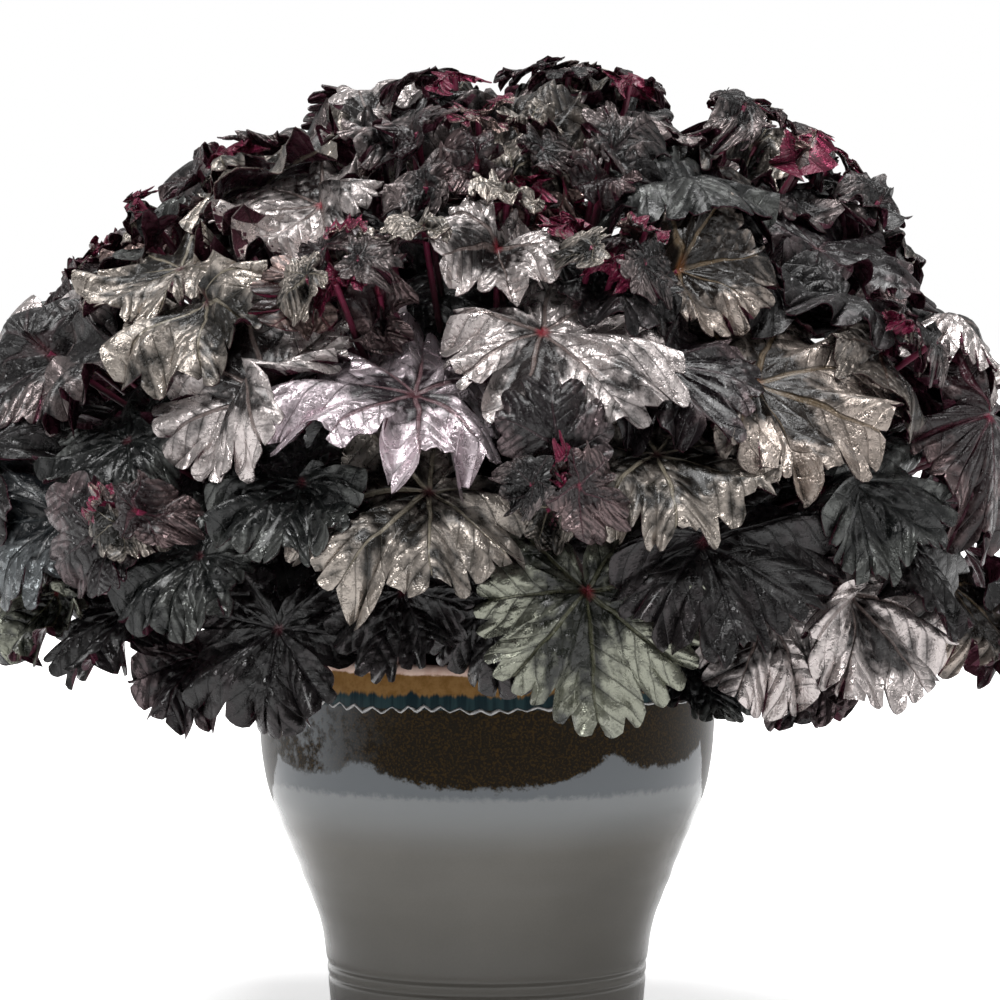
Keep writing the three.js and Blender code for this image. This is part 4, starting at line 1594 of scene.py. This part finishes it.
@dataclass(frozen=True)
class StalkFinish:
    """Soft, round leaf stalk: pink towards the blade and dull wine red lower down."""

    mottling: bpy.types.NodeTree
    low: Colour = (0.020, 0.005, 0.007)
    high: Colour = (0.16, 0.012, 0.045)
    dull: Colour = (0.04, 0.012, 0.014)

    def build(self) -> bpy.types.Material:
        """Makes the material, which reads how far along its stalk a point lies.

        Returns:
            The material.
        """
        material, painter = new_material("stalk")
        fine = painter.group(self.mottling, "Fine", Vector=painter.place(), Scale=30.0)
        colour = painter.mix(painter.mark("along").ramp(0.7, 1.0), self.low, self.high)
        colour = painter.mix(fine * 0.4, colour, self.dull)
        bump = painter.node("Bump", 0, None, Strength=0.4, Distance=0.4 * MM, Height=fine)
        return finish_material(material, Base_Color=colour, Roughness=0.42, Normal=bump)


@dataclass(frozen=True)
class BarkFinish:
    """Rough brown bark of the crown's branches."""

    mottling: bpy.types.NodeTree
    dark: Colour = (0.035, 0.018, 0.012)
    pale: Colour = (0.11, 0.065, 0.045)

    def build(self) -> bpy.types.Material:
        """Makes the material.

        Returns:
            The material.
        """
        material, painter = new_material("bark")
        broad = painter.group(self.mottling, "Broad", Vector=painter.place(), Scale=90.0)
        grain = broad.beside("Fine") + broad
        colour = painter.mix(broad, self.dark, self.pale)
        bump = painter.node("Bump", 0, None, Strength=0.9, Distance=1.2 * MM, Height=grain)
        return finish_material(material, Base_Color=colour, Roughness=0.85, Normal=bump)


@dataclass(frozen=True)
class GlazeFinish:
    """Two glazes on stoneware: speckled dark brown over grey, with an ochre band under the lip.

    The lines are pairs of heights over which one colour gives way to the next: grey to cool grey,
    to its veil, and above them the deep line under the bead, the ochre band and the pale lip.
    """

    mottling: bpy.types.NodeTree
    dark: Colour = (0.006, 0.0036, 0.0006)
    fleck: Colour = (0.028, 0.015, 0.002)
    grey: Colour = (0.108, 0.102, 0.092)
    pale_grey: Colour = (0.142, 0.134, 0.120)
    veil: Colour = (0.100, 0.110, 0.120)
    cool: Colour = (0.22, 0.235, 0.245)
    ochre: Colour = (0.13, 0.065, 0.018)
    amber: Colour = (0.21, 0.12, 0.045)
    teal: Colour = (0.005, 0.014, 0.018)
    pale_teal: Colour = (0.013, 0.030, 0.034)
    lip: Colour = (0.50, 0.34, 0.28)
    pale_lip: Colour = (0.66, 0.52, 0.45)
    cool_line: tuple[float, float] = (92.0, 121.0)
    veil_line: tuple[float, float] = (121.6, 125.4)
    teal_line: tuple[float, float] = (163.6, 164.6)
    ochre_line: tuple[float, float] = (174.2, 176.2)
    lip_line: tuple[float, float] = (179.8, 181.0)

    def build(self) -> bpy.types.Material:
        """Makes the material, which reads the height over the wavy line between the two glazes.

        Returns:
            The material.
        """
        material, painter = new_material("pot_glaze")
        place = painter.place()
        broad = painter.group(self.mottling, "Broad", Vector=place, Scale=22.0)
        fine = broad.beside("Fine")
        speck = painter.noise(place, 900.0, 2.0)
        streak = painter.noise(painter.vectors("MULTIPLY", place, (1.0, 1.0, 0.05)), 330.0, 2.0)
        height = painter.mark("height")
        grey = painter.mix(broad * 0.3 + speck * 0.35, self.grey, self.pale_grey)
        grey = painter.mix(height.ramp(*self.cool_line) * 0.7, grey, self.cool)
        grey = painter.mix((height + fine * 2.0).ramp(*self.veil_line), grey, self.veil)
        dark = painter.mix(speck.ramp(0.45, 0.66), self.dark, self.fleck)
        edge = (painter.mark("over") + fine * 3.0 - 1.5 + speck * 2.0).ramp(-1.2, 1.8)
        # Painted reflection: the thin mark opens the dark glaze in patches to the grey under it on the
        # front-left side, where a pale reflection falls.
        painted_reflection = painter.mark("thin") * (fine * 0.5 + broad * 0.5).ramp(0.25, 0.7)
        edge = edge * (painted_reflection * 0.75).flipped()
        colour = painter.mix(edge, grey, dark)
        deep = painter.mix(streak.ramp(0.42, 0.58), self.teal, self.pale_teal)
        colour = painter.mix(height.ramp(*self.teal_line), colour, deep)
        amber = painter.mix(fine * 0.8, self.ochre, self.amber)
        colour = painter.mix((height + streak * 9.0).ramp(*self.ochre_line), colour, amber)
        pale = painter.mix(fine * 0.7, self.lip, self.pale_lip)
        colour = painter.mix((height + fine * 0.8).ramp(*self.lip_line), colour, pale)
        colour = painter.mix(painter.mark("inside"), colour, dark)
        grain = speck + broad * 2.0
        bump = painter.node("Bump", 0, None, Strength=0.10, Distance=0.5 * MM, Height=grain)
        return finish_material(material, Base_Color=colour, Roughness=edge.ramp(0, 1, 0.22, 0.30),
                               Specular_IOR_Level=0.06, Normal=bump,
                               Coat_Weight=edge.ramp(0, 1, 0.45, 0.0), Coat_Roughness=0.08)


@dataclass(frozen=True)
class BeadFinish:
    """The pale grey bead of glaze that has run together below the ochre band."""

    mottling: bpy.types.NodeTree
    dark: Colour = (0.14, 0.145, 0.15)
    pale: Colour = (0.34, 0.33, 0.32)

    def build(self) -> bpy.types.Material:
        """Makes the material.

        Returns:
            The material.
        """
        material, painter = new_material("glaze_bead")
        fine = painter.group(self.mottling, "Fine", Vector=painter.place(), Scale=60.0)
        colour = painter.mix(fine, self.dark, self.pale)
        return finish_material(material, Base_Color=colour, Roughness=0.18, Coat_Weight=0.4)


@dataclass(frozen=True)
class SoilFinish:
    """Dark peat with brown fibres and crumbs."""

    mottling: bpy.types.NodeTree
    dark: Colour = (0.012, 0.008, 0.006)
    brown: Colour = (0.05, 0.032, 0.02)
    fibre: Colour = (0.14, 0.09, 0.05)

    def build(self) -> bpy.types.Material:
        """Makes the material.

        Returns:
            The material.
        """
        material, painter = new_material("soil")
        broad = painter.group(self.mottling, "Broad", Vector=painter.place(), Scale=120.0)
        fine = broad.beside("Fine")
        colour = painter.mix(broad, self.dark, self.brown)
        colour = painter.mix(fine.ramp(0.8, 1.0) * 0.6, colour, self.fibre)
        bump = painter.node("Bump", 0, None, Strength=1.0, Distance=2.5 * MM, Height=broad + fine)
        return finish_material(material, Base_Color=colour, Roughness=0.92, Normal=bump)


@dataclass(frozen=True)
class FloorFinish:
    """Plain pale studio floor."""

    colour: Colour = (0.86, 0.86, 0.86)
    grain: Colour = (0.88, 0.88, 0.88)

    def build(self) -> bpy.types.Material:
        """Makes the material, which glows more to the camera than it lights the object.

        Returns:
            The material.
        """
        material, painter = new_material("floor")
        colour = painter.mix(painter.noise(painter.place(), 3.0), self.colour, self.grain)
        seen = painter.node("LightPath", "Is Camera Ray")
        return finish_material(material, Base_Color=colour, Roughness=0.8,
                               Emission_Color=self.colour, Emission_Strength=seen.ramp(0, 1, 0.34, 0.84))


# ---- sub-assemblies
@dataclass
class Foliage:
    """All leaves with their stalks and the crown's branches, one set of pieces a rosette."""

    plant: Plant
    leaf: bpy.types.Material
    stalk: bpy.types.Material
    bark: bpy.types.Material
    branch_reach: float = 60.0
    branch_radius: float = 5.0
    branch_depth: float = 14.0
    head_radius: float = 6.5
    branch_sides: int = 12
    stalk_radius: float = 1.7
    stalk_straight: float = 70.0
    stalk_steps: int = 13
    stalk_sides: int = 7
    lip_lift: float = 40.0
    lip_elevation: float = 40.0
    tuft_leaves: tuple[int, ...] = (14, 6, 6, 4, 3, 4, 6, 2, 3, 3, 3, 3, 3, 3)
    summits: tuple[tuple[float, float, int], ...] = (
        (70, 79, 8), (88, 64, 6), (94, 49, 4), (-30, 82, 3), (-88, 63, 4), (-92, 47, 3),
    )
    small_spans: tuple[float, float] = (24, 34)
    summit_size: float = 1.3
    upright_size: float = 0.8
    crisp_elevation: float = 66.0
    inner_leaves: int = 44
    inner_depth: float = 0.74
    inner_span: float = 92.0
    seed: int = 21

    def __post_init__(self) -> None:
        """Sets up the blade maker, the heads of the branches and the meshes under construction."""
        self.maker = BladeMaker()
        self.random = np.random.default_rng(self.seed)
        self.heads = self.plant.tufts * self.branch_reach + CROWN
        self.blades = [MeshStack() for _ in self.plant.rosettes]
        self.stems = [MeshStack() for _ in self.plant.rosettes]

    def phases(self) -> Array:
        """Six phases in radians for a blade's fine relief."""
        return self.random.uniform(0, 2 * np.pi, 6)

    def add_stalk(self, number: int, leaf: Leaf, end: Array) -> None:
        """Adds a leaf's stalk, a Bezier curve from its branch's head over the pot's lip to the blade.

        Args:
            number: the leaf's rosette.
            leaf: the leaf.
            end: the middle of the blade's lower face.
        """
        head, tuft = self.heads[number], self.plant.tufts[number]
        around = unit(leaf.way - tuft * (tuft @ leaf.way))
        rise = 3 if leaf.kind is YOUNG else -1
        start = head + around * self.head_radius / 2 + tuft * rise
        lift = self.lip_lift * max(0, 1 - leaf.elevation / self.lip_elevation)
        first = start + 0.35 * (end - start) + np.array([0, 0, lift])
        second = end - leaf.way * self.stalk_straight + np.array([0, 0, lift / 2])
        t = np.linspace(0, 1, self.stalk_steps)[:, None]
        curve = (1 - t) ** 3 * start + 3 * (1 - t) ** 2 * t * first + 3 * (1 - t) * t**2 * second + t**3 * end
        radii = self.stalk_radius * (1.15 - 0.3 * t[:, 0])
        points, faces = tube(curve, radii, self.stalk_sides, np.cross(around, leaf.way) + 0.01)
        along = np.concatenate([np.repeat(t[:, 0], self.stalk_sides), [0.0, 1.0]])
        self.stems[number].add(points, faces, {"along": along})

    def add_branch(self, number: int) -> None:
        """Adds a branch of the crown, upright from inside the soil to its rounded head.

        Args:
            number: its rosette.
        """
        head = self.heads[number]
        bottom = SOIL_TOP - self.branch_depth
        top = head[2] - 2
        steps = np.linspace(0, 1, 9)
        dome = np.radians(np.linspace(10, 80, 5))
        swell = 1.5 * steps**3 + 0.35 * np.sin(9 * steps + number)
        radii = np.concatenate([self.branch_radius + swell, self.head_radius * np.cos(dome)])
        heights = np.concatenate([bottom + (top - bottom) * steps, top + self.head_radius * np.sin(dome)])
        path = np.column_stack([np.tile(head[:2], (len(heights), 1)), heights])
        points, faces = tube(path, radii, self.branch_sides, np.array([1.0, 0.2, 0.0]))
        self.stems[number].add(points, faces, {"along": np.zeros(len(points))}, material=1)

    def waves(self) -> tuple[float, float]:
        """The phase and the sway of a leaf's waves."""
        return self.random.uniform(20, 160), self.random.uniform(0, 360)

    def add_tuft(self, azimuth: float, elevation: float, count: int, spread: float, size: float) -> None:
        """Adds small crinkled leaves that crowd a place, as a rosette's middle, on pink stalks.

        Args:
            azimuth: the place.
            elevation: the place.
            count: number of leaves. The second of every four is red and stands upright.
            spread: how much farther out each leaf stands than the one before.
            size: the leaves' size as a share of the small leaves' spans.
        """
        number = self.plant.nearest_tuft(direction(azimuth, elevation))
        for i in range(count):
            ring = 1 + spread * i + self.random.uniform(-0.6, 0.6)
            bearing = np.radians(i * GOLDEN_ANGLE + 40 * number)
            up = elevation + ring * np.cos(bearing)
            around = azimuth + ring * np.sin(bearing) / np.cos(np.radians(elevation))
            turn = float(np.degrees(np.arctan2(np.sin(bearing), -np.cos(bearing))))
            upright = i % 4 == 1
            span = self.random.uniform(*self.small_spans) * size * (self.upright_size if upright else 1)
            tone = Tone.RED if upright else (Tone.PEWTER, Tone.BROWN, Tone.WINE, Tone.DUSK)[i % 4]
            tilt = self.random.uniform(95, 125) if upright else self.random.uniform(5, 42)
            leaf = Leaf(YOUNG, around, up, turn, span, tilt, *self.waves(), tone.value)
            end = self.maker.add(self.blades[number], leaf, CRINKLED_FRILL, self.phases())
            self.add_stalk(number, leaf, end)

    def add_shade_fill_leaves(self) -> None:
        """Adds black leaves a little below the dome as painted shade: they close the view into the plant
        where deep shade falls.
        """
        for i in range(self.inner_leaves):
            elevation = float(np.degrees(np.arcsin(1 - 0.62 * (i + 0.5) / self.inner_leaves)))
            azimuth = (i * GOLDEN_ANGLE) % 360 - 180
            turn = self.random.uniform(-60, 60)
            tilt = self.random.uniform(5, 25)
            # Painted shade: these leaves are black to stand for the shade inside the plant.
            span, shade = self.inner_span, Tone.BLACK.value
            leaf = Leaf(PLAIN, azimuth, elevation, turn, span, tilt, *self.waves(), shade)
            number = self.plant.nearest_tuft(leaf.way)
            base = leaf.way * DOME.reach(elevation) * self.inner_depth
            stance = replace(leaf.stance(), base=base)
            self.maker.add_loose(self.blades[number], leaf, stance, INNER_GRID, MATURE_FRILL, self.phases())
            self.add_stalk(number, leaf, base + CROWN)

    def build(self) -> None:
        """Makes the pieces of every rosette."""
        for leaf in self.plant.leaves:
            number = self.plant.nearest_tuft(leaf.way)
            crisp = leaf.kind is YOUNG or leaf.elevation > self.crisp_elevation
            frill = YOUNG_FRILL if crisp else MATURE_FRILL
            end = self.maker.add(self.blades[number], leaf, frill, self.phases())
            self.add_stalk(number, leaf, end)
        self.add_shade_fill_leaves()
        for number, (azimuth, elevation) in enumerate(self.plant.rosettes):
            spread, size = (0.5, 1) if number else (1.0, self.summit_size)
            self.add_tuft(azimuth, elevation, self.tuft_leaves[number], spread, size)
        for azimuth, elevation, count in self.summits:
            self.add_tuft(azimuth, elevation, count, 0.9, self.summit_size)
        for number in range(len(self.plant.rosettes)):
            self.add_branch(number)
            node = f"rosette_{number + 1:02d}"
            leaves = self.blades[number].build(f"leaves_{number + 1:02d}", [self.leaf])
            stems = self.stems[number].build(f"stalks_{number + 1:02d}", [self.stalk, self.bark])
            for piece in (leaves, stems):
                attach(piece, "root")
                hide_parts(node)


def revolve(radii: Array, heights: Array, sides: int) -> tuple[Array, list[Array]]:
    """A closed turned solid.

    Args:
        radii: the profile's radii, 0 at its first and last points.
        heights: the profile's heights, up the outside and down the inside.
        sides: points round each ring.

    Returns:
        Points and faces, with one point at each pole.
    """
    turn = np.linspace(0, 2 * np.pi, sides, endpoint=False)
    rings = np.stack([
        radii[1:-1, None] * np.cos(turn), radii[1:-1, None] * np.sin(turn),
        np.repeat(heights[1:-1, None], sides, axis=1),
    ], axis=-1)
    quads, numbers = ring_faces(len(radii) - 2, sides)
    after = np.roll(numbers, -1, axis=1)
    count = numbers.size
    first = np.stack([numbers[0], np.full(sides, count), after[0]], axis=-1)
    last = np.stack([numbers[-1], after[-1], np.full(sides, count + 1)], axis=-1)
    poles = np.array([[0, 0, heights[0]], [0, 0, heights[-1]]])
    return np.vstack([rings.reshape(-1, 3), poles]), [quads[:, ::-1], first, last]


def smooth_line(anchors: Array, steps: int) -> Array:
    """A Catmull-Rom curve through anchor points.

    Args:
        anchors: the points, as rows.
        steps: points on each stretch between two of them.

    Returns:
        Points of the curve, both ends included.
    """
    padded = np.vstack([2 * anchors[0] - anchors[1], anchors, 2 * anchors[-1] - anchors[-2]])
    t = np.linspace(0, 1, steps, endpoint=False)[None, :, None]
    a, b, c, d = (padded[i : len(padded) - 3 + i, None] for i in range(4))
    curve = 0.5 * (2 * b + (c - a) * t + (2 * a - 5 * b + 4 * c - d) * t**2 + (3 * b - a - 3 * c + d) * t**3)
    return np.vstack([curve.reshape(-1, anchors.shape[1]), anchors[-1:]])


@dataclass
class Pot:
    """The round-bellied pot with its wavy bead of glaze.

    Outside and inside are radii and heights of the wall. Swoops are the middle azimuth, the half
    width and the depth of each swag of the dark glaze. The last dark_rows of the profile wear it too.
    """

    glaze: bpy.types.Material
    bead: bpy.types.Material
    sides: int = 144
    outside: tuple[tuple[float, float], ...] = (
        (73, 0), (75, 4), (76, 15), (77, 26), (78, 37), (80, 50), (83.5, 61), (88, 72), (92.5, 84),
        (97.5, 95.5), (102, 107), (105, 115), (107.2, 124), (109, 136), (110, 150), (110.7, 163),
        (110.2, 173), (109.2, 180),
    )
    inside: tuple[tuple[float, float], ...] = (
        (101, 180), (99.8, 165), (97.5, 145), (90, 108), (78, 66), (62, 14.5),
    )
    grooves: tuple[float, ...] = (27.0, 33.0)
    dark_rows: int = 32
    bead_height: float = 164.0
    bead_waves: int = 78
    bead_sides: int = 8
    swoop_top: float = 146.0
    swoops: tuple[tuple[float, float, float], ...] = (
        (-1, 32, 18.5), (50, 18, 11), (91, 22, 37), (136, 20, 14), (180, 24, 24), (-140, 17, 10),
        (-93, 27, 37), (-50, 18, 14),
    )

    def profile(self) -> Array:
        """Radius and height, up the outside, over the lip and down the inside.

        Returns:
            Smooth curves through the sizes. Two grooves are pressed into the foot, and faint
            throwing rings run round the wall. The lip is half of an ellipse.
        """
        wall = smooth_line(np.array(self.outside), 9)
        height = wall[:, 1]
        for groove in self.grooves:
            wall[:, 0] -= 0.8 * np.exp(-(((height - groove) / 1.3) ** 2))
        wall[:, 0] += 0.16 * np.sin(height / 1.9) * np.exp(-(((height - 80) / 26) ** 2))
        turn = np.radians(np.linspace(8, 172, 11))
        lip = np.column_stack([105.1 + 4.1 * np.cos(turn), 180 + 4.5 * np.sin(turn)])
        inner = smooth_line(np.array(self.inside), 5)
        ends = np.array([[0.0, 0.0], [60.0, 0.0], [70.5, 0.0]])
        floor = np.array([[58.0, 14.0], [0.0, 14.0]])
        return np.vstack([ends, wall, lip, inner, floor])

    def glaze_line(self, azimuths: Array) -> Array:
        """Height of the wavy line between the glazes.

        Args:
            azimuths: where on the pot.

        Returns:
            Half ellipses that hang side by side round the pot, of uneven width and depth.
        """
        line = np.full(azimuths.shape, self.swoop_top)
        for middle, half, depth in self.swoops:
            off = (azimuths - middle + 180) % 360 - 180
            line -= depth * np.sqrt(np.maximum(0, 1 - (off / half) ** 2))
        return line

    def build(self) -> None:
        """Makes the pot and its bead."""
        profile = self.profile()
        points, faces = revolve(profile[:, 0], profile[:, 1], self.sides)
        azimuths = np.degrees(np.arctan2(points[:, 0], -points[:, 1]))
        count = len(profile)
        rows = np.concatenate([np.repeat(np.arange(1, count - 1), self.sides), [0, count]])
        marks = {
            "height": points[:, 2],
            "over": points[:, 2] - self.glaze_line(azimuths),
            # Painted reflection: the thin mark is a band round azimuth -50 where the dark glaze gives way to
            # grey.
            "thin": np.exp(-(((azimuths + 50) / 15) ** 2)),
            "inside": (rows > count - self.dark_rows).astype(float),
        }
        stack = MeshStack()
        stack.add(points, faces, marks)
        pot = stack.build("pot_body", [self.glaze])
        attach(pot, "root")
        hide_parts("pot")
        self.build_bead()

    def build_bead(self) -> None:
        """Makes the bead: a thin closed tube round the wall whose height runs in an uneven zigzag."""
        turn = np.linspace(0, 2 * np.pi, self.bead_waves * 8, endpoint=False)
        uneven = 0.9 * np.sin(7 * turn) + 0.6 * np.sin(17 * turn)
        saw = np.arcsin(np.sin(turn * self.bead_waves + uneven)) * 2 / np.pi
        height = self.bead_height + saw * (0.85 - 0.65 * np.cos(2 * turn + 1.2)) + 0.7 * np.sin(13 * turn)
        radius = np.interp(height, *np.array(self.outside).T[::-1])
        path = np.column_stack([radius * np.cos(turn), radius * np.sin(turn), height])
        thick = 0.62 + 0.2 * np.sin(23 * turn) + 0.14 * np.sin(turn * self.bead_waves + 2)
        tangent = unit(np.roll(path, -1, axis=0) - np.roll(path, 1, axis=0))
        outward = np.column_stack([np.cos(turn), np.sin(turn), 0 * turn])
        points = circles(path, tangent, outward, thick, self.bead_sides)
        quads = ring_faces(len(path) + 1, self.bead_sides)[0] % len(points)
        stack = MeshStack()
        stack.add(points, [quads], {"height": points[:, 2]})
        bead = stack.build("glaze_bead", [self.bead])
        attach(bead, "root")


@dataclass
class Soil:
    """The crumbly soil that fills the pot. Side is radii and heights of its base and wall."""

    finish: bpy.types.Material
    sides: int = 120
    side: tuple[tuple[float, float], ...] = (
        (0, 14.3), (61.0, 14.3), (61.4, 14.4), (89.2, 108), (98.8, 162.6),
    )
    top_rings: int = 46
    edge: float = 163.2
    crumb: float = 1.6

    def build(self) -> None:
        """Makes the soil: its top is lifted by sums of sines of the place, with a few lumps."""
        radius = self.side[-1][0]
        top = np.linspace(radius, 0, self.top_rings)
        cap = np.column_stack([top, np.interp(top, [0, 99], [SOIL_TOP, self.edge])])
        points, faces = revolve(*np.vstack([self.side, cap]).T, self.sides)
        x, y, z = points.T
        rough = np.sin(x / 3.1 + 2 * np.sin(y / 7)) * np.sin(y / 3.7 + 2 * np.sin(x / 9))
        rough += 0.5 * np.sin(x / 1.3 + y / 2.9) * np.sin(y / 1.7 - x / 3.3)
        lifted = z + self.crumb * rough * (z > self.edge - 0.1)
        stack = MeshStack()
        stack.add(np.column_stack([x, y, lifted]), faces, {"height": lifted})
        soil = stack.build("soil_fill", [self.finish])
        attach(soil, "root")
        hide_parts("soil")


@dataclass(frozen=True)
class Sun:
    """A far soft light: its azimuth, elevation, watts per square metre and the angle it fills."""

    name: str
    azimuth: float
    elevation: float
    strength: float
    width: float

    def build(self) -> None:
        """Adds the light."""
        data = bpy.data.lights.new(self.name, "SUN")
        data.energy = self.strength
        data.angle = float(np.radians(self.width))
        light = bpy.data.objects.new(self.name, data)
        towards = Vector(direction(self.azimuth, self.elevation))
        light.rotation_euler = towards.to_track_quat("Z", "Y").to_euler()
        bpy.context.scene.collection.objects.link(light)


@dataclass
class Studio:
    """Camera, plain pale floor and soft lights."""

    camera_place: tuple[float, float, float] = (6.3, -2200.0, 361.0)
    camera_aim: tuple[float, float, float] = (6.3, 0.0, 255.7)
    lens: float = 164.3
    floor_half: float = 20.0
    front_light: float = 0.05
    gloss_light: float = 0.34
    matt_light: float = 0.08
    suns: tuple[Sun, ...] = (
        Sun("key", -34, 58, 3.7, 22), Sun("fill", 58, 46, 0.7, 24), Sun("top", 160, 72, 1.8, 26),
    )

    def add_camera(self) -> None:
        """Adds the camera and makes it the scene's."""
        data = bpy.data.cameras.new("camera")
        data.lens = self.lens
        data.sensor_width = 36
        data.clip_end = 100
        camera = bpy.data.objects.new("camera", data)
        place, aim = Vector(self.camera_place) * MM, Vector(self.camera_aim) * MM
        camera.location = place
        camera.rotation_euler = (aim - place).to_track_quat("-Z", "Y").to_euler()
        bpy.context.scene.collection.objects.link(camera)
        bpy.context.scene.camera = camera

    def add_floor(self) -> None:
        """Adds the floor, which isn't part of the object."""
        half = self.floor_half
        mesh = bpy.data.meshes.new("floor")
        corners = [(-half, -half, 0), (half, -half, 0), (half, half, 0), (-half, half, 0)]
        mesh.from_pydata(corners, [], [(0, 1, 2, 3)])
        mesh.materials.append(FloorFinish().build())
        floor = bpy.data.objects.new("floor", mesh)
        bpy.context.scene.collection.objects.link(floor)

    def add_surround(self) -> None:
        """Adds the surround: white to the camera, and as a light dimmer in front of the plant."""
        world = bpy.data.worlds.new("studio")
        world.use_nodes = True
        tree = world.node_tree
        painter = Painter(tree)
        depth = painter.node("SeparateXYZ", "Y", None, Vector=painter.node("TexCoord", "Generated"))
        seen = painter.node("LightPath", "Is Camera Ray")
        matt = painter.node("LightPath", "Is Diffuse Ray")
        light = depth.ramp(-0.95, -0.15, self.front_light, 1.0)
        light = light * matt.ramp(0, 1, self.gloss_light, self.matt_light)
        background = tree.nodes["Background"]
        background.inputs["Color"].default_value = (1, 1, 1, 1)
        plug(tree, light.math("MAXIMUM", seen), background.inputs["Strength"])
        bpy.context.scene.world = world

    def build(self) -> None:
        """Adds everything round the object."""
        self.add_camera()
        for sun in self.suns:
            sun.build()
        self.add_floor()
        self.add_surround()
        bpy.context.scene.view_settings.view_transform = "Standard"
        LOG.info("studio")


def main() -> None:
    """Builds the scene."""
    logging.basicConfig(level=logging.INFO, format="%(name)s: %(message)s")
    Studio().build()
    veins = vein_group()
    mottling = mottle_group()
    Pot(GlazeFinish(mottling).build(), BeadFinish(mottling).build()).build()
    Soil(SoilFinish(mottling).build()).build()
    plant = Plant()
    plant.grow()
    LOG.info("%d leaves planned", len(plant.leaves))
    leaf = LeafFinish(veins, mottling).build()
    Foliage(plant, leaf, StalkFinish(mottling).build(), BarkFinish(mottling).build()).build()
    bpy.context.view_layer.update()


if __name__ == "__main__":
    main()
